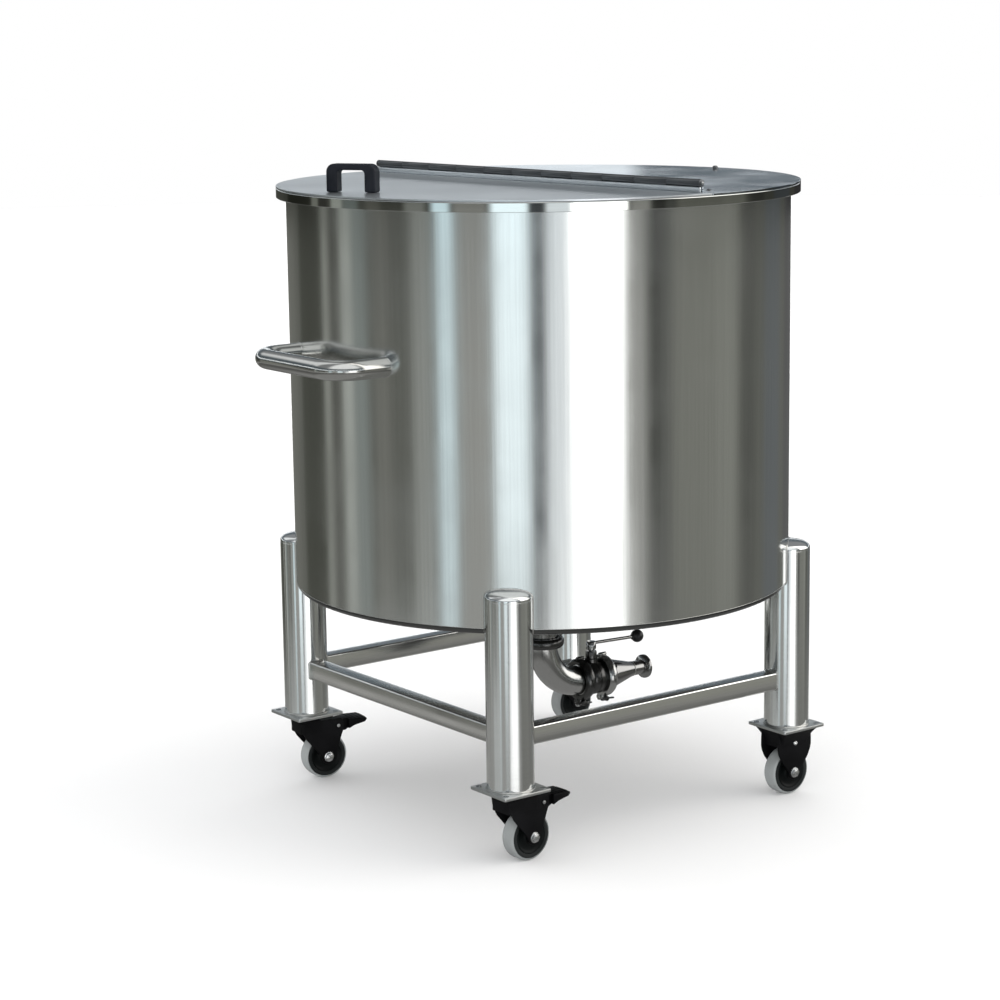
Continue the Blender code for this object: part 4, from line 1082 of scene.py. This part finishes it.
bend = arc((bend_radius, pipe_height + bend_radius), bend_radius, 180.0, 270.0, 24)
bend_path = [(0.0, 0.0, neck_joint - 0.004)] + [(0.0, y, z) for y, z in bend]
bend_path += [(0.0, inlet_joint - 0.004, pipe_height)]
upper = turned(collar_end(neck_joint - joint_gap, -1) + [(pipe_bore, neck_joint - 0.02)], 64, closed=False)
lower = turned(collar_end(-joint_gap, -1) + [(pipe_bore, -0.02)], 64, closed=False)
to_valve = shifted(0.0, inlet_joint, pipe_height) @ to_y_axis
elbow = joined(along(bend_path, pipe_radius, 14), upper, moved(lower, to_valve))
finished("outlet_bend", elbow, lit_fitting_steel, "outlet_elbow", place=on_axis, smooth=50.0)


def clamp():
    """A ring of two halves with a hinge on one side and lugs on the other."""
    ring = turned([
        (0.0370, 0.0034), (0.0370, -0.0034), (0.0353, -0.0066), (0.0332, -0.0085), (0.0277, -0.0085),
        (0.0277, -0.0072), (0.0323, -0.0064), (0.0323, 0.0064), (0.0277, 0.0072), (0.0277, 0.0085),
        (0.0332, 0.0085), (0.0353, 0.0066)], 72)
    parts = [ring]
    for side in (-1, 1):
        near, far = sorted((side * 0.0014, side * 0.0078))
        parts.append(rounded(block((near, 0.0340, -0.0064), (far, 0.0458, 0.0064)), 0.0016, 3))
    parts.append(moved(rod(0.0034, 0.0150, 24, 0.0006), shifted(0.0, -0.0378, 0.0)))
    parts.append(moved(rod(0.0018, 0.0170, 16, 0.0004), shifted(0.0, -0.0378, 0.0)))
    return joined(*parts)


def clamp_bolt():
    """The bolt through both lugs, with a hexagon head and a wing nut."""
    along_x = 0.0405
    parts = [
        moved(rod(0.0026, 0.0270, 20, 0.0004, "X"), shifted(0.0015, along_x, 0.0)),
        moved(rod(0.0050, 0.0034, 6, 0.0004, "X"), shifted(-0.0098, along_x, 0.0)),
        moved(rod(0.0046, 0.0060, 24, 0.0008, "X"), shifted(0.0112, along_x, 0.0))]
    wing = [(0.0035, 0.0), (0.0130, 0.0015), (0.0150, 0.0048), (0.0132, 0.0078), (0.0100, 0.0072),
            (0.0040, 0.0050)]
    for half_turn in (180.0, 0.0):
        blade = rounded(sheet(wing, 0.0024), 0.0007, 2, 30.0)
        turned_wing = swung(half_turn, "X") @ on_edge @ on_edge
        parts.append(moved(blade, shifted(0.0090, along_x, 0.0) @ turned_wing))
    return joined(*parts)


for name, material, place in (
        ("neck_clamp", shaded_clamp_steel, on_axis @ shifted(0.0, 0.0, neck_joint) @ swung(180.0, "Z")),
        ("valve_inlet_clamp", shaded_clamp_steel, lying @ shifted(0.0, 0.0, inlet_joint)),
        ("valve_outlet_clamp", lit_fitting_steel, lying @ shifted(0.0, 0.0, outlet_joint))):
    finished(name + "_ring", clamp(), material, name, place=place)
    finished(name + "_bolt", clamp_bolt(), shaded_clamp_steel, place=place)

first = inlet_joint + joint_gap
last = outlet_joint - joint_gap
middle = (first + last) / 2
stem_foot = pipe_height + 0.0255
valve = [(collar_radius, last), (collar_radius, last - collar_width), (0.0270, last - 0.0066),
         (0.0270, last - 0.0112), (0.0286, last - 0.0122), (0.0300, last - 0.0140), (0.0300, middle + 0.0012),
         (0.0291, middle + 0.0007)]
valve += [(radius, first + last - along_y) for radius, along_y in reversed(valve)]
valve += [(pipe_bore, first), (pipe_bore, last)]
boss = turned([
    (0.0, stem_foot), (0.0118, stem_foot), (0.0118, stem_foot + 0.0085), (0.0100, stem_foot + 0.0100),
    (0.0100, 0.2215), (0.0092, 0.2238), (0.0046, 0.2238), (0.0046, 0.2120), (0.0, 0.2120)], 32, closed=False)
body = joined(
    moved(turned(valve, 72), shifted(0.0, 0.0, pipe_height) @ to_y_axis),
    moved(boss, shifted(0.0, middle, 0.0)))
finished("valve_housing", body, shaded_clamp_steel, "valve_body", place=on_axis)

lever_height = 0.234
lever_length = 0.105
hub = turned([
    (0.0, 0.2180), (0.0040, 0.2180), (0.0040, 0.2270), (0.0082, 0.2270), (0.0090, 0.2278), (0.0090, 0.2396),
    (0.0080, 0.2408), (0.0052, 0.2410), (0.0, 0.2410)], 32, closed=False)
shank = along([(0.0, 0.006, lever_height + 0.003), (0.0, lever_length - 0.0116, lever_height)], 0.003, 6)
lever_middle = on_axis @ shifted(0.0, middle, 0.0)
lever = joined(hub, shank)
finished("lever_shank", lever, shaded_pipe_steel, "valve_lever", body="valve_lever", place=lever_middle)
knob_radius = 0.0115
knob = bmesh.new()
bmesh.ops.create_uvsphere(knob, u_segments=32, v_segments=20, radius=knob_radius)
bmesh.ops.translate(knob, vec=(0.0, lever_length, lever_height), verts=knob.verts)
neck_ring = moved(rod(0.0050, 0.0040, 24, 0.0006, "Y"), shifted(0.0, lever_length - 0.0108, lever_height))
knob = joined(knob, neck_ring)
finished(
    "lever_ball", knob, knob_plastic, "lever_knob", body="valve_lever", slot="black_plastic",
    place=lever_middle)

reducer = collar_end(outlet_joint + joint_gap, 1)
reducer += [(pipe_bore, 0.1500), (end_bore, cone_end), (end_pipe, cone_end), (0.0252, 0.1512),
            (pipe_radius, 0.1490)]
finished("outlet_cone", turned(reducer, 72), shaded_pipe_steel, "outlet_reducer", place=lying)
ferrule = [(end_bore, cone_end + 0.0003), (end_pipe, cone_end + 0.0003), (end_pipe, 0.2215),
           (0.0200, 0.2236), (0.0208, 0.2243), (0.0210, 0.2252), (0.0210, 0.2293), (0.0203, reducer_end),
           (0.0165, reducer_end), (0.0160, 0.2291), (0.0150, 0.2291), (0.0145, reducer_end),
           (0.0112, reducer_end), (end_bore, 0.2293)]
finished("outlet_end_collar", turned(ferrule, 64), shaded_pipe_steel, "outlet_ferrule", place=lying)
cone_bead = turned(arc((end_pipe, cone_end + 0.00015), 0.0009, 0.0, 324.0, 9), 48)
finished("outlet_cone_weld", cone_bead, weld_steel, place=lying)
